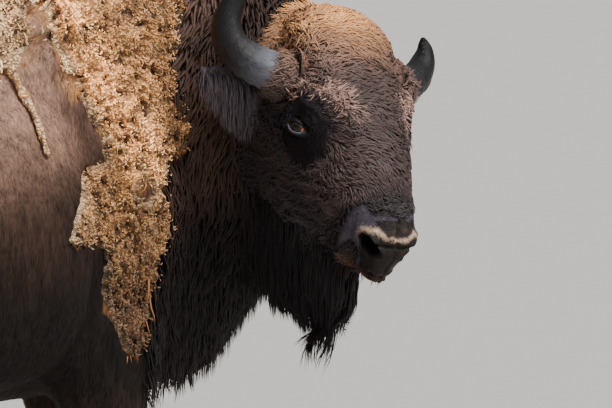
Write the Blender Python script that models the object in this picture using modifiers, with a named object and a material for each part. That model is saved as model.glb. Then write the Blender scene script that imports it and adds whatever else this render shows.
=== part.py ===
"""Wisent bull, life size, standing on four feet and looking back over its right shoulder.

Metres, +Z up. The trunk lies along X with the chest at +X, and +Y is the animal's left.
The design frame has its origin on the floor below the middle of the shoulders, and
main() moves the finished animal so that the origin is the middle of its box, on the floor.
The solids are the outer shape of the coat. The flesh is lofted part by part, melted into
one skin, and parted again with thin cuts.
"""

import math
from collections import namedtuple

import bmesh
import bpy
import numpy as np
from mathutils import Matrix, Vector

# ---- driving sizes -------------------------------------------------------------------
GAP = 0.0003  # between two pieces that touch
PARTING = 0.0006  # width of the cuts that part the flesh
VOXEL = 0.011  # of the melt that joins the lofts
RING_POINTS = 28
HEAD_SMOOTHING = 5  # rounds of smoothing after the melt
BODY_SMOOTHING = 11
FLESH_TRIANGLES = 1900  # of trunk, neck and legs
HEAD_TRIANGLES = 1050

# ---- pose of the head ----------------------------------------------------------------
EYES_MIDDLE = Vector((0.397, -0.491, 1.300))
HEAD_FORWARD = Vector((-0.168, -0.737, -0.656)).normalized()  # eyes to nostrils
HEAD_LEFT_HINT = Vector((0.985, -0.092, -0.149))
HEAD_UP = HEAD_FORWARD.cross(HEAD_LEFT_HINT).normalized()  # out of the forehead
HEAD_LEFT = HEAD_UP.cross(HEAD_FORWARD).normalized()

# ---- feet ----------------------------------------------------------------------------
HOOF_HEIGHT = 0.075
FEET = {  # (x, y) of the middle of each foot
    "foreleg_right": (0.015, -0.190),
    "foreleg_left": (0.095, 0.180),
    "hindleg_right": (-1.330, -0.185),
    "hindleg_left": (-1.210, 0.190),
}

# A trunk or head section: how far along, upper and lower edge, half width, height of the
# widest line, and how square it is above and below that line (2 is an ellipse).
Section = namedtuple("Section", "at top bottom half mid square_top square_bottom")

# A limb section: centre, half width across, half depth fore and aft.
Ring = namedtuple("Ring", "x y z across along")

# at = x, with heights above the floor
TRUNK = [
    Section(-1.600, 1.300, 1.080, 0.060, 1.190, 2.0, 2.0),
    Section(-1.555, 1.410, 0.930, 0.165, 1.190, 2.0, 2.0),
    Section(-1.430, 1.500, 0.850, 0.245, 1.180, 2.0, 2.2),
    Section(-1.250, 1.545, 0.830, 0.285, 1.160, 2.0, 2.2),
    Section(-1.050, 1.555, 0.800, 0.300, 1.120, 2.0, 2.1),
    Section(-0.850, 1.575, 0.760, 0.320, 1.080, 1.9, 2.1),
    Section(-0.600, 1.635, 0.735, 0.335, 1.070, 1.95, 2.0),
    Section(-0.380, 1.715, 0.730, 0.325, 1.080, 1.9, 2.0),
    Section(-0.200, 1.775, 0.725, 0.300, 1.100, 1.9, 2.0),
    Section(-0.030, 1.800, 0.720, 0.280, 1.110, 1.9, 2.0),
    Section(0.130, 1.775, 0.695, 0.250, 1.110, 1.9, 1.9),
    Section(0.270, 1.690, 0.690, 0.215, 1.100, 1.9, 1.9),
    Section(0.380, 1.560, 0.750, 0.170, 1.080, 1.9, 2.0),
    Section(0.450, 1.380, 0.870, 0.095, 1.090, 2.0, 2.0),
]

# The barrel stands proud of the trunk behind the shoulders, with a rounded front edge.
BARREL = [
    Section(-1.120, 1.320, 0.920, 0.200, 1.110, 2.0, 2.0),
    Section(-0.980, 1.430, 0.845, 0.320, 1.100, 2.0, 2.3),
    Section(-0.780, 1.490, 0.800, 0.392, 1.090, 2.0, 2.6),
    Section(-0.520, 1.520, 0.775, 0.415, 1.100, 2.0, 2.9),
    Section(-0.280, 1.510, 0.775, 0.410, 1.110, 2.0, 2.9),
    Section(-0.165, 1.470, 0.795, 0.390, 1.120, 2.0, 2.8),
    Section(-0.105, 1.400, 0.840, 0.345, 1.120, 2.0, 2.5),
    Section(-0.070, 1.300, 0.920, 0.265, 1.120, 2.0, 2.0),
]
# Shoulder muscle, each side alike: centre and radii.
SHOULDER = ((0.020, 0.165, 1.150), (0.180, 0.138, 0.350))


def splined(values, parts):
    """Rows of numbers with parts - 1 more rows between each two, on a Catmull-Rom curve."""
    rows = np.asarray(values, float)
    padded = np.vstack([2 * rows[0] - rows[1], rows, 2 * rows[-1] - rows[-2]])
    made = []
    for i in range(1, len(rows)):
        p0, p1, p2, p3 = padded[i - 1 : i + 3]
        for t in np.arange(parts) / parts:
            made.append(
                0.5
                * (
                    2 * p1
                    + (p2 - p0) * t
                    + (2 * p0 - 5 * p1 + 4 * p2 - p3) * t**2
                    + (3 * p1 - p0 - 3 * p2 + p3) * t**3
                )
            )
    made.append(rows[-1])
    return np.array(made)


def section_outline(section):
    """The section's outline as (across, height) pairs, counter-clockwise from +across."""
    outline = []
    for i in range(RING_POINTS):
        turn = 2 * math.pi * i / RING_POINTS
        c, s = math.cos(turn), math.sin(turn)
        upper = s >= 0
        power = 2 / (section.square_top if upper else section.square_bottom)
        reach = section.top - section.mid if upper else section.mid - section.bottom
        across = section.half * math.copysign(abs(c) ** power, c)
        outline.append((across, section.mid + reach * math.copysign(abs(s) ** power, s)))
    return outline


def loft(name, rings, flesh):
    """A closed mesh through rings of points, each end closed by a fan."""
    bm = bmesh.new()
    made = [[bm.verts.new(p) for p in ring] for ring in rings]
    for low, high in zip(made, made[1:]):
        for i in range(len(low)):
            j = (i + 1) % len(low)
            bm.faces.new((low[i], low[j], high[j], high[i]))
    for ring in (made[0], made[-1]):
        middle = bm.verts.new(sum((v.co for v in ring), Vector()) / len(ring))
        for i in range(len(ring)):
            bm.faces.new((ring[i], ring[(i + 1) % len(ring)], middle))
    bmesh.ops.triangulate(bm, faces=bm.faces)
    bmesh.ops.recalc_face_normals(bm, faces=bm.faces)
    mesh = bpy.data.meshes.new(name)
    bm.to_mesh(mesh)
    bm.free()
    obj = bpy.data.objects.new(name, mesh)
    flesh.objects.link(obj)
    return obj


def loft_sections(name, sections, origin, along, across, up, flesh, parts=4):
    """A loft of Sections on an axis through origin: at runs along, heights run up."""
    rows = splined(sections, parts)
    rings = []
    for row in rows:
        section = Section(*row)
        rings.append(
            [
                origin + along * section.at + across * a + up * h
                for a, h in section_outline(section)
            ]
        )
    return loft(name, rings, flesh)


def limb(name, rings, flesh, parts=3, points=16):
    """A limb of level elliptical sections."""
    made = []
    for row in splined(rings, parts):
        ring = Ring(*row)
        made.append(
            [
                Vector(
                    (
                        ring.x + ring.along * math.cos(2 * math.pi * i / points),
                        ring.y + ring.across * math.sin(2 * math.pi * i / points),
                        ring.z,
                    )
                )
                for i in range(points)
            ]
        )
    return loft(name, made, flesh)


def blob(name, centre, radii, flesh, turned=None):
    """An ellipsoid for a mass of muscle or hair."""
    bm = bmesh.new()
    bmesh.ops.create_uvsphere(bm, u_segments=14, v_segments=8, radius=1)
    turn = turned.to_4x4() if turned else Matrix.Identity(4)
    bm.transform(Matrix.Translation(centre) @ turn @ Matrix.Diagonal((*radii, 1)))
    mesh = bpy.data.meshes.new(name)
    bm.to_mesh(mesh)
    bm.free()
    obj = bpy.data.objects.new(name, mesh)
    flesh.objects.link(obj)
    return obj


def in_head(forward, left, up):
    return EYES_MIDDLE + HEAD_FORWARD * forward + HEAD_LEFT * left + HEAD_UP * up


HEAD_TURN = Matrix((HEAD_FORWARD, HEAD_LEFT, HEAD_UP)).transposed()


# ---- neck ----------------------------------------------------------------------------
# The neck leaves the chest forward and bends round to the right. Its sections stand
# upright across the bend.
NeckSection = namedtuple("NeckSection", "x y top bottom half square")
NECK = [
    NeckSection(0.000, 0.000, 1.780, 0.800, 0.240, 1.9),
    NeckSection(0.130, 0.000, 1.750, 0.730, 0.225, 1.9),
    NeckSection(0.250, -0.030, 1.700, 0.700, 0.205, 1.9),
    NeckSection(0.345, -0.110, 1.645, 0.800, 0.200, 1.9),
    NeckSection(0.400, -0.210, 1.590, 0.940, 0.188, 2.0),
    NeckSection(0.420, -0.310, 1.545, 1.020, 0.170, 2.0),
    NeckSection(0.415, -0.400, 1.500, 1.060, 0.150, 2.0),
]

# ---- head ----------------------------------------------------------------------------
# at = forward of the eyes, heights above the line of the eyes, all in the head's own axes
HEAD = [
    Section(-0.290, 0.060, -0.180, 0.100, -0.070, 2.0, 2.0),
    Section(-0.240, 0.100, -0.250, 0.140, -0.090, 2.2, 2.2),
    Section(-0.150, 0.116, -0.285, 0.158, -0.100, 2.3, 2.4),
    Section(-0.060, 0.112, -0.285, 0.152, -0.100, 2.3, 2.5),
    Section(0.020, 0.102, -0.268, 0.137, -0.095, 2.2, 2.5),
    Section(0.090, 0.090, -0.240, 0.119, -0.085, 2.1, 2.4),
    Section(0.160, 0.074, -0.200, 0.096, -0.070, 2.0, 2.3),
    Section(0.220, 0.054, -0.162, 0.076, -0.060, 2.1, 2.3),
    Section(0.262, 0.033, -0.138, 0.065, -0.056, 2.3, 2.3),
    Section(0.290, 0.010, -0.120, 0.055, -0.055, 2.4, 2.3),
    Section(0.310, -0.018, -0.100, 0.036, -0.055, 2.2, 2.2),
]

# Masses on the head, each side alike: centre (forward, left, up) and radii the same way.
HEAD_SIDE_MASSES = {
    "orbit": ((0.000, 0.104, 0.002), (0.050, 0.034, 0.040)),
    "brow": ((-0.035, 0.104, 0.042), (0.046, 0.036, 0.032)),
    "horn_collar": ((-0.118, 0.128, 0.026), (0.050, 0.042, 0.048)),
    "cheek": ((-0.010, 0.078, -0.150), (0.170, 0.062, 0.110)),
    "jowl": ((0.060, 0.064, -0.200), (0.150, 0.042, 0.065)),
    "nostril_wing": ((0.268, 0.042, -0.022), (0.032, 0.026, 0.026)),
}
HEAD_MIDDLE_MASSES = {
    "crown": ((-0.170, 0.0, 0.072), (0.120, 0.130, 0.056)),
    "lower_lip": ((0.258, 0.0, -0.112), (0.040, 0.048, 0.026)),
}

# ---- legs ----------------------------------------------------------------------------
# x is from the middle of the foot, y is inward from it
FORELEG = [
    Ring(-0.040, 0.060, 1.160, 0.070, 0.130),
    Ring(-0.040, 0.020, 1.050, 0.095, 0.165),
    Ring(-0.036, 0.005, 0.930, 0.100, 0.160),
    Ring(-0.030, 0.000, 0.800, 0.092, 0.132),
    Ring(-0.012, 0.000, 0.690, 0.079, 0.104),
    Ring(0.000, 0.000, 0.580, 0.064, 0.080),
    Ring(0.004, 0.000, 0.480, 0.055, 0.064),
    Ring(0.008, 0.000, 0.420, 0.058, 0.063),
    Ring(0.000, 0.000, 0.350, 0.046, 0.050),
    Ring(-0.004, 0.000, 0.260, 0.039, 0.044),
    Ring(-0.010, 0.000, 0.195, 0.042, 0.050),
    Ring(-0.014, 0.000, 0.155, 0.050, 0.058),
    Ring(0.000, 0.000, 0.115, 0.051, 0.053),
    Ring(0.008, 0.000, 0.085, 0.058, 0.060),
    Ring(0.010, 0.000, 0.060, 0.058, 0.060),
]
HINDLEG = [
    Ring(0.040, 0.070, 1.330, 0.060, 0.120),
    Ring(0.045, 0.036, 1.210, 0.092, 0.190),
    Ring(0.055, 0.008, 1.060, 0.120, 0.230),
    Ring(0.075, 0.000, 0.930, 0.118, 0.208),
    Ring(0.070, 0.000, 0.820, 0.100, 0.165),
    Ring(0.025, 0.000, 0.720, 0.078, 0.120),
    Ring(-0.040, 0.000, 0.640, 0.060, 0.090),
    Ring(-0.085, 0.000, 0.575, 0.051, 0.077),
    Ring(-0.098, 0.000, 0.520, 0.049, 0.066),
    Ring(-0.092, 0.000, 0.450, 0.044, 0.051),
    Ring(-0.082, 0.000, 0.340, 0.038, 0.043),
    Ring(-0.070, 0.000, 0.240, 0.039, 0.044),
    Ring(-0.058, 0.000, 0.170, 0.050, 0.058),
    Ring(-0.030, 0.000, 0.120, 0.051, 0.053),
    Ring(-0.004, 0.000, 0.085, 0.058, 0.060),
    Ring(0.004, 0.000, 0.060, 0.058, 0.060),
]
FORELEG_PARTING = 0.705  # height of the cut under the chest
KNEE_PARTING = 0.395
HINDLEG_PARTING = 0.800
HOCK_PARTING = 0.495

# ---- tail ----------------------------------------------------------------------------
TAIL = [
    Ring(-1.560, 0.0, 1.350, 0.042, 0.034),
    Ring(-1.618, 0.0, 1.326, 0.036, 0.032),
    Ring(-1.655, 0.0, 1.270, 0.030, 0.028),
    Ring(-1.672, 0.0, 1.180, 0.027, 0.026),
    Ring(-1.678, 0.0, 1.050, 0.026, 0.025),
    Ring(-1.678, 0.0, 0.920, 0.026, 0.026),
    Ring(-1.676, 0.0, 0.840, 0.034, 0.034),
    Ring(-1.674, 0.0, 0.760, 0.044, 0.044),
    Ring(-1.672, 0.0, 0.660, 0.047, 0.047),
    Ring(-1.668, 0.0, 0.560, 0.036, 0.036),
    Ring(-1.664, 0.0, 0.490, 0.014, 0.014),
]
TUFT_PARTING = 0.845

# ---- beard ---------------------------------------------------------------------------
# upright sections from the chin back to the throat
BEARD = [
    NeckSection(0.348, -0.600, 1.090, 1.000, 0.030, 2.0),
    NeckSection(0.348, -0.575, 1.160, 0.935, 0.048, 1.9),
    NeckSection(0.350, -0.535, 1.220, 0.885, 0.060, 1.7),
    NeckSection(0.354, -0.485, 1.260, 0.862, 0.072, 1.6),
    NeckSection(0.362, -0.430, 1.280, 0.862, 0.090, 1.6),
    NeckSection(0.376, -0.360, 1.280, 0.888, 0.110, 1.7),
    NeckSection(0.392, -0.280, 1.270, 0.925, 0.125, 1.8),
    NeckSection(0.400, -0.220, 1.250, 0.945, 0.125, 2.0),
]

# ---- horns ---------------------------------------------------------------------------
# Bends of the horns in the head's axes, with the radius at each. The right one stands
# a little taller than the left.
HORN_RIGHT = [
    (-0.110, -0.120, 0.015, 0.044),
    (-0.122, -0.160, 0.026, 0.043),
    (-0.145, -0.203, 0.026, 0.040),
    (-0.178, -0.236, 0.034, 0.036),
    (-0.215, -0.246, 0.060, 0.030),
    (-0.246, -0.232, 0.096, 0.022),
    (-0.264, -0.210, 0.130, 0.013),
    (-0.270, -0.196, 0.148, 0.005),
]
HORN_LEFT = [
    (-0.110, 0.110, 0.014, 0.040),
    (-0.122, 0.150, 0.026, 0.039),
    (-0.145, 0.188, 0.023, 0.036),
    (-0.172, 0.214, 0.026, 0.031),
    (-0.197, 0.229, 0.035, 0.026),
    (-0.215, 0.233, 0.047, 0.019),
    (-0.227, 0.229, 0.058, 0.012),
    (-0.233, 0.224, 0.067, 0.005),
]
HORN_SIDES = 12

# ---- ears ----------------------------------------------------------------------------
# Each row is a place on the middle line (forward, outward, up, in the head's axes), then how
# far the ear rises above it, how far its hair hangs below it, and its half thickness.
# The left ear is laid further back.
EAR_RIGHT = [
    (-0.145, 0.110, -0.056, 0.018, 0.030, 0.022),
    (-0.150, 0.145, -0.054, 0.026, 0.062, 0.026),
    (-0.154, 0.180, -0.050, 0.030, 0.084, 0.026),
    (-0.158, 0.215, -0.044, 0.028, 0.076, 0.022),
    (-0.162, 0.250, -0.038, 0.022, 0.050, 0.016),
    (-0.165, 0.286, -0.030, 0.010, 0.016, 0.008),
]
EAR_LEFT = [
    (-0.150, 0.105, -0.050, 0.018, 0.020, 0.024),
    (-0.172, 0.137, -0.052, 0.026, 0.036, 0.026),
    (-0.196, 0.166, -0.054, 0.030, 0.062, 0.026),
    (-0.222, 0.190, -0.056, 0.028, 0.068, 0.022),
    (-0.250, 0.208, -0.058, 0.022, 0.048, 0.016),
    (-0.280, 0.220, -0.060, 0.010, 0.016, 0.008),
]
EAR_SIDES = 12

EYE_RADIUS = 0.0195
EYE_SIDE = 0.1215  # of the eyeball's centre from the head's middle plane
NOSTRIL = ((0.292, 0.046, -0.030), (0.018, 0.013, 0.011))
LID_HOLLOW = ((0.0, 0.142, 0.0), (0.022, 0.010, 0.015))
CRUMB_POINTS = 12  # fewer points than this is a crumb left by a cut
CLAW_HALF_LENGTH = 0.058
CLAW_HALF_WIDTH = 0.034
CLAW_SPREAD = 0.0235  # of each claw's middle from the foot's middle
CLAW_FORWARD = 0.016  # of the middle of the foot
DEWCLAW_SPREAD = 0.027
DEWCLAW_BACK_FORE = 0.058  # behind the middle of a fore foot
DEWCLAW_BACK_HIND = 0.098
DEWCLAW_HEIGHT = 0.150


def upright_loft(name, sections, flesh, parts=4):
    """A loft of upright sections along a path in plan."""
    rows = splined(sections, parts)
    plan = rows[:, :2]
    headings = np.gradient(plan, axis=0)
    rings = []
    for row, heading in zip(rows, headings):
        here = NeckSection(*row)
        ahead = Vector((heading[0], heading[1], 0)).normalized()
        left = Vector((-ahead.y, ahead.x, 0))
        middle = (here.top + here.bottom) / 2
        outline = section_outline(
            Section(0, here.top, here.bottom, here.half, middle, here.square, here.square)
        )
        base = Vector((here.x, here.y, 0))
        rings.append([base + left * a + Vector((0, 0, h)) for a, h in outline])
    return loft(name, rings, flesh)


def tube(name, points, sides, parts, collection):
    """A round tube through (x, y, z, radius) points given in the head's axes."""
    rows = splined(points, parts)
    centres = [in_head(*row[:3]) for row in rows]
    rings = []
    for i, centre in enumerate(centres):
        ahead = centres[min(i + 1, len(centres) - 1)] - centres[max(i - 1, 0)]
        ahead.normalize()
        side = ahead.cross(HEAD_FORWARD).normalized()
        lift = side.cross(ahead)
        radius = rows[i][3]
        ring = []
        for k in range(sides):
            turn = 2 * math.pi * k / sides
            ring.append(centre + (side * math.cos(turn) + lift * math.sin(turn)) * radius)
        rings.append(ring)
    return loft(name, rings, collection)


def ear(name, rows, side, collection):
    """A cupped leaf with hanging hair; side is -1 on the right and 1 on the left."""
    made = splined(rows, 2)
    centres = [in_head(row[0], side * row[1], row[2]) for row in made]
    upright = Vector((0, 0, 1))
    rings = []
    for i, (centre, row) in enumerate(zip(centres, made)):
        rise, drop, depth = row[3:]
        ahead = centres[min(i + 1, len(centres) - 1)] - centres[max(i - 1, 0)]
        across = ahead.cross(upright).normalized()
        ring = []
        for k in range(EAR_SIDES):
            turn = 2 * math.pi * k / EAR_SIDES
            high = math.cos(turn)
            height = upright * (high * (rise if high > 0 else drop))
            ring.append(centre + across * (math.sin(turn) * depth) + height)
        rings.append(ring)
    return loft(name, rings, collection)


def claw(name, middle, outward, collection):
    """Half of a cloven hoof: flat below and above, straight on its inner side."""
    rings = []
    for height, grow, back in ((0.0, 1.0, 0.0), (0.030, 1.0, 0.004), (HOOF_HEIGHT, 0.86, 0.014)):
        ring = []
        for k in range(16):
            turn = 2 * math.pi * k / 16
            c, s = math.cos(turn), math.sin(turn)
            along = math.copysign(abs(c) ** 0.8, c) * CLAW_HALF_LENGTH * grow
            reach = s * CLAW_HALF_WIDTH
            if s * outward < 0:
                reach = math.copysign(min(abs(reach), 0.6 * CLAW_HALF_WIDTH), s)
            toe = 1 - 0.35 * max(0.0, c) ** 2
            ring.append(
                Vector((middle[0] + along - back, middle[1] + reach * toe * grow, height))
            )
        rings.append(ring)
    return loft(name, rings, collection)


def dewclaw(name, centre, collection):
    """A blunt horny cone behind the fetlock."""
    rings = []
    for reach, radius in ((0.0, 0.016), (0.018, 0.015), (0.034, 0.007)):
        ring = []
        for k in range(10):
            turn = 2 * math.pi * k / 10
            ring.append(
                Vector(centre)
                + Vector((-reach * 0.8, 0, -reach * 0.6))
                + Vector((0.6, 0, -0.8)) * (radius * math.cos(turn))
                + Vector((0, 1, 0)) * (radius * math.sin(turn))
            )
        rings.append(ring)
    return loft(name, rings, collection)


def apply_modifier(obj, kind, settings):
    modifier = obj.modifiers.new(kind.lower(), kind)
    for key, value in settings.items():
        setattr(modifier, key, value)
    graph = bpy.context.evaluated_depsgraph_get()
    mesh = bpy.data.meshes.new_from_object(obj.evaluated_get(graph))
    obj.modifiers.clear()
    obj.data = mesh


def cut(obj, tool):
    apply_modifier(
        obj, "BOOLEAN", {"operation": "DIFFERENCE", "solver": "EXACT", "object": tool}
    )


def inflated(obj, amount, cutters):
    """A copy grown outward by amount, to seat obj in the flesh with a hair of room."""
    bm = bmesh.new()
    bm.from_mesh(obj.data)
    bmesh.ops.recalc_face_normals(bm, faces=bm.faces)
    bm.normal_update()
    grown = {v: v.co + v.normal * amount * min(2, v.calc_shell_factor()) for v in bm.verts}
    for v, co in grown.items():
        v.co = co
    mesh = bpy.data.meshes.new(obj.name + "_seat")
    bm.to_mesh(mesh)
    bm.free()
    copy = bpy.data.objects.new(obj.name + "_seat", mesh)
    cutters.objects.link(copy)
    return copy


def slab(name, centre, normal, half_wide, half_high, cutters):
    """A thin plate that parts the flesh; half_high runs in the plate's steepest direction."""
    normal = Vector(normal).normalized()
    steep = Vector((0, 0, 1)) - normal * normal.z
    if steep.length < 0.3:
        steep = Vector((1, 0, 0)) - normal * normal.x
    steep.normalize()
    wide = steep.cross(normal)
    bm = bmesh.new()
    bmesh.ops.create_cube(bm, size=1)
    bm.transform(Matrix.Diagonal((2 * half_wide, 2 * half_high, PARTING, 1)))
    turn = Matrix((wide, steep, normal)).transposed().to_4x4()
    bm.transform(Matrix.Translation(centre) @ turn)
    bmesh.ops.recalc_face_normals(bm, faces=bm.faces)
    mesh = bpy.data.meshes.new(name)
    bm.to_mesh(mesh)
    bm.free()
    obj = bpy.data.objects.new(name, mesh)
    cutters.objects.link(obj)
    return obj


def melt(pieces, collection):
    """Joins the flesh into one skin and smooths the places where pieces met."""
    bm = bmesh.new()
    for piece in pieces:
        bm.from_mesh(piece.data)
    mesh = bpy.data.meshes.new("flesh")
    bm.to_mesh(mesh)
    bm.free()
    for piece in pieces:
        bpy.data.objects.remove(piece)
    body = bpy.data.objects.new("flesh", mesh)
    collection.objects.link(body)
    apply_modifier(body, "REMESH", {"mode": "VOXEL", "voxel_size": VOXEL})
    bm = bmesh.new()
    bm.from_mesh(body.data)
    on_head = [v for v in bm.verts if in_head_region(v.co)]
    elsewhere = [v for v in bm.verts if not in_head_region(v.co)]
    for verts, rounds in ((on_head, HEAD_SMOOTHING), (elsewhere, BODY_SMOOTHING)):
        for _ in range(rounds):
            bmesh.ops.smooth_vert(
                bm, verts=verts, factor=0.5, use_axis_x=True, use_axis_y=True, use_axis_z=True
            )
    bm.to_mesh(body.data)
    bm.free()
    return body


def largest_only(body):
    """Drops loose crumbs and closed bubbles that the melt may leave."""
    bm = bmesh.new()
    bm.from_mesh(body.data)
    groups = loose_groups(bm)
    keep = max(groups, key=len)
    bmesh.ops.delete(bm, geom=[v for v in bm.verts if v not in keep], context="VERTS")
    bm.to_mesh(body.data)
    bm.free()


def loose_groups(bm):
    groups = []
    seen = set()
    for start in bm.verts:
        if start in seen:
            continue
        group = {start}
        stack = [start]
        while stack:
            v = stack.pop()
            for edge in v.link_edges:
                other = edge.other_vert(v)
                if other not in group:
                    group.add(other)
                    stack.append(other)
        seen |= group
        groups.append(group)
    return groups


def in_head_region(co):
    """True for the head and beard, which keep smaller facets."""
    offset = co - EYES_MIDDLE
    return offset.length < 0.40 and co.y < -0.24


def thin_out(body):
    """Fewer facets, the head keeping more of them than the rest."""
    bpy.context.view_layer.objects.active = body
    body.select_set(True)
    bpy.ops.object.mode_set(mode="EDIT")
    for on_head, target in ((True, HEAD_TRIANGLES), (False, FLESH_TRIANGLES)):
        bm = bmesh.from_edit_mesh(body.data)
        bm.select_mode = {"FACE"}
        count = 0
        for face in bm.faces:
            chosen = in_head_region(face.calc_center_median()) == on_head
            face.select_set(chosen)
            count += (len(face.verts) - 2) * chosen
        bm.select_flush_mode()
        bmesh.update_edit_mesh(body.data)
        bpy.ops.mesh.decimate(ratio=min(1.0, target / count))
    bpy.ops.mesh.select_all(action="SELECT")
    bpy.ops.mesh.quads_convert_to_tris()
    bpy.ops.object.mode_set(mode="OBJECT")
    body.select_set(False)


def build_flesh(collection):
    forward, left, up = Vector((1, 0, 0)), Vector((0, 1, 0)), Vector((0, 0, 1))
    pieces = [
        loft_sections("trunk", TRUNK, Vector(), forward, left, up, collection),
        loft_sections("barrel", BARREL, Vector(), forward, left, up, collection),
        upright_loft("neck_loft", NECK, collection),
        loft_sections(
            "skull", HEAD, EYES_MIDDLE, HEAD_FORWARD, HEAD_LEFT, HEAD_UP, collection
        ),
        upright_loft("beard_loft", BEARD, collection),
        limb("tail_loft", TAIL, collection, points=12),
    ]
    for foot, (x, y) in FEET.items():
        rings = FORELEG if foot.startswith("fore") else HINDLEG
        inward = -math.copysign(1, y)
        placed = [r._replace(x=r.x + x, y=y + inward * r.y) for r in rings]
        pieces.append(limb(foot, placed, collection))
    for side in (-1, 1):
        centre, radii = SHOULDER
        place = Vector((centre[0], centre[1] * side, centre[2]))
        pieces.append(blob("shoulder", place, radii, collection))
    for name, (centre, radii) in HEAD_SIDE_MASSES.items():
        for side in (-1, 1):
            place = in_head(centre[0], centre[1] * side, centre[2])
            pieces.append(blob(name, place, radii, collection, HEAD_TURN))
    for name, (centre, radii) in HEAD_MIDDLE_MASSES.items():
        pieces.append(blob(name, in_head(*centre), radii, collection, HEAD_TURN))
    body = melt(pieces, collection)
    largest_only(body)
    thin_out(body)
    return body


def build_hard_parts(collection):
    """Horns, ears, eyes, hooves and dewclaws, each a solid of its own."""
    made = {}
    made["horn_right"] = tube("horn_right", HORN_RIGHT, HORN_SIDES, 2, collection)
    made["horn_left"] = tube("horn_left", HORN_LEFT, HORN_SIDES, 2, collection)
    for word, side in (("right", -1), ("left", 1)):
        rows = EAR_RIGHT if side < 0 else EAR_LEFT
        made[f"ear_{word}"] = ear(f"ear_{word}", rows, side, collection)
        eye = blob(
            f"eye_{word}", in_head(0, side * EYE_SIDE, 0), (EYE_RADIUS,) * 3, collection,
            HEAD_TURN,
        )
        made[f"eye_{word}"] = eye
    for foot, (x, y) in FEET.items():
        for word, side in (("outer", 1), ("inner", -1)):
            away = side if y > 0 else -side
            name = f"{foot}_claw_{word}"
            middle = (x + CLAW_FORWARD, y + away * CLAW_SPREAD)
            made[name] = claw(name, middle, away, collection)
            name = f"{foot}_dewclaw_{word}"
            back = DEWCLAW_BACK_FORE if foot.startswith("fore") else DEWCLAW_BACK_HIND
            middle = (x - back, y + away * DEWCLAW_SPREAD, DEWCLAW_HEIGHT)
            made[name] = dewclaw(name, middle, collection)
    return made


# A point inside each piece of flesh, so that the pieces can be told apart after the cuts.
FLESH_PLACES = {
    "head": tuple(in_head(0.0, 0.0, -0.05)),
    "beard": (0.350, -0.480, 0.960),
    "neck": (0.370, -0.130, 1.220),
    "thorax": (-0.080, 0.000, 1.250),
    "abdomen": (-0.720, 0.000, 1.120),
    "hindquarters": (-1.250, 0.000, 1.150),
    "tail": (-1.675, 0.000, 1.060),
    "tail_tuft": (-1.672, 0.000, 0.680),
}
for leg, (leg_x, leg_y) in FEET.items():
    fore = leg.startswith("fore")
    FLESH_PLACES[f"{leg}_upper"] = (leg_x if fore else leg_x + 0.03, leg_y, 0.58 if fore else 0.68)
    FLESH_PLACES[f"{leg}_lower"] = (leg_x if fore else leg_x - 0.08, leg_y, 0.24 if fore else 0.30)


# Plates that part the flesh: centre, normal, half width, half height.
PARTINGS = {
    "neck": ((0.425, -0.300, 1.300), (0.0, -1.0, 0.05), 0.26, 0.50),
    "beard": ((0.375, -0.510, 1.050), (0.0, -0.21, 0.98), 0.214, 0.20),
    "chest": ((0.195, 0.000, 1.250), (0.95, -0.30, 0.15), 0.40, 0.62),
    "loin": ((-0.450, 0.000, 1.200), (1.0, 0.0, 0.04), 0.50, 0.60),
    "flank": ((-0.985, 0.000, 1.150), (1.0, 0.0, 0.10), 0.45, 0.50),
    "tail": ((-1.640, 0.000, 1.306), (0.80, 0.0, 0.60), 0.060, 0.060),
    "tuft": ((-1.676, 0.000, TUFT_PARTING), (0.0, 0.0, 1.0), 0.060, 0.060),
}
for leg, (leg_x, leg_y) in FEET.items():
    out = math.copysign(0.205, leg_y)
    if leg.startswith("fore"):
        PARTINGS[f"{leg}_top"] = ((leg_x - 0.02, out, FORELEG_PARTING), (0, 0, 1), 0.145, 0.20)
        PARTINGS[f"{leg}_knee"] = ((leg_x, leg_y, KNEE_PARTING), (0, 0, 1), 0.10, 0.10)
    else:
        PARTINGS[f"{leg}_top"] = ((leg_x + 0.06, out, HINDLEG_PARTING), (0, 0, 1), 0.16, 0.23)
        PARTINGS[f"{leg}_hock"] = ((leg_x - 0.09, leg_y, HOCK_PARTING), (0, 0, 1), 0.10, 0.12)


GROUND_BLOCK = (3.0, 2.0, 0.3)  # wider and longer than the stance of the four feet
GROUND_BLOCK_X = -0.6  # its middle, midway between the fore and hind feet


def block_below(height, cutters):
    """A block that fills everything below a height, to end the legs level at the hooves."""
    bm = bmesh.new()
    bmesh.ops.create_cube(bm, size=1)
    bm.transform(Matrix.Diagonal((*GROUND_BLOCK, 1)))
    bm.transform(Matrix.Translation((GROUND_BLOCK_X, 0, height - GROUND_BLOCK[2] / 2)))
    mesh = bpy.data.meshes.new("below")
    bm.to_mesh(mesh)
    bm.free()
    obj = bpy.data.objects.new("below", mesh)
    cutters.objects.link(obj)
    return obj


def shape_face(body, cutters):
    """Hollows round the eyes and in the nostrils."""
    for side in (-1, 1):
        for name, (centre, radii) in (("lids", LID_HOLLOW), ("nostril", NOSTRIL)):
            place = in_head(centre[0], centre[1] * side, centre[2])
            cut(body, blob(name, place, radii, cutters, HEAD_TURN))


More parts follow.
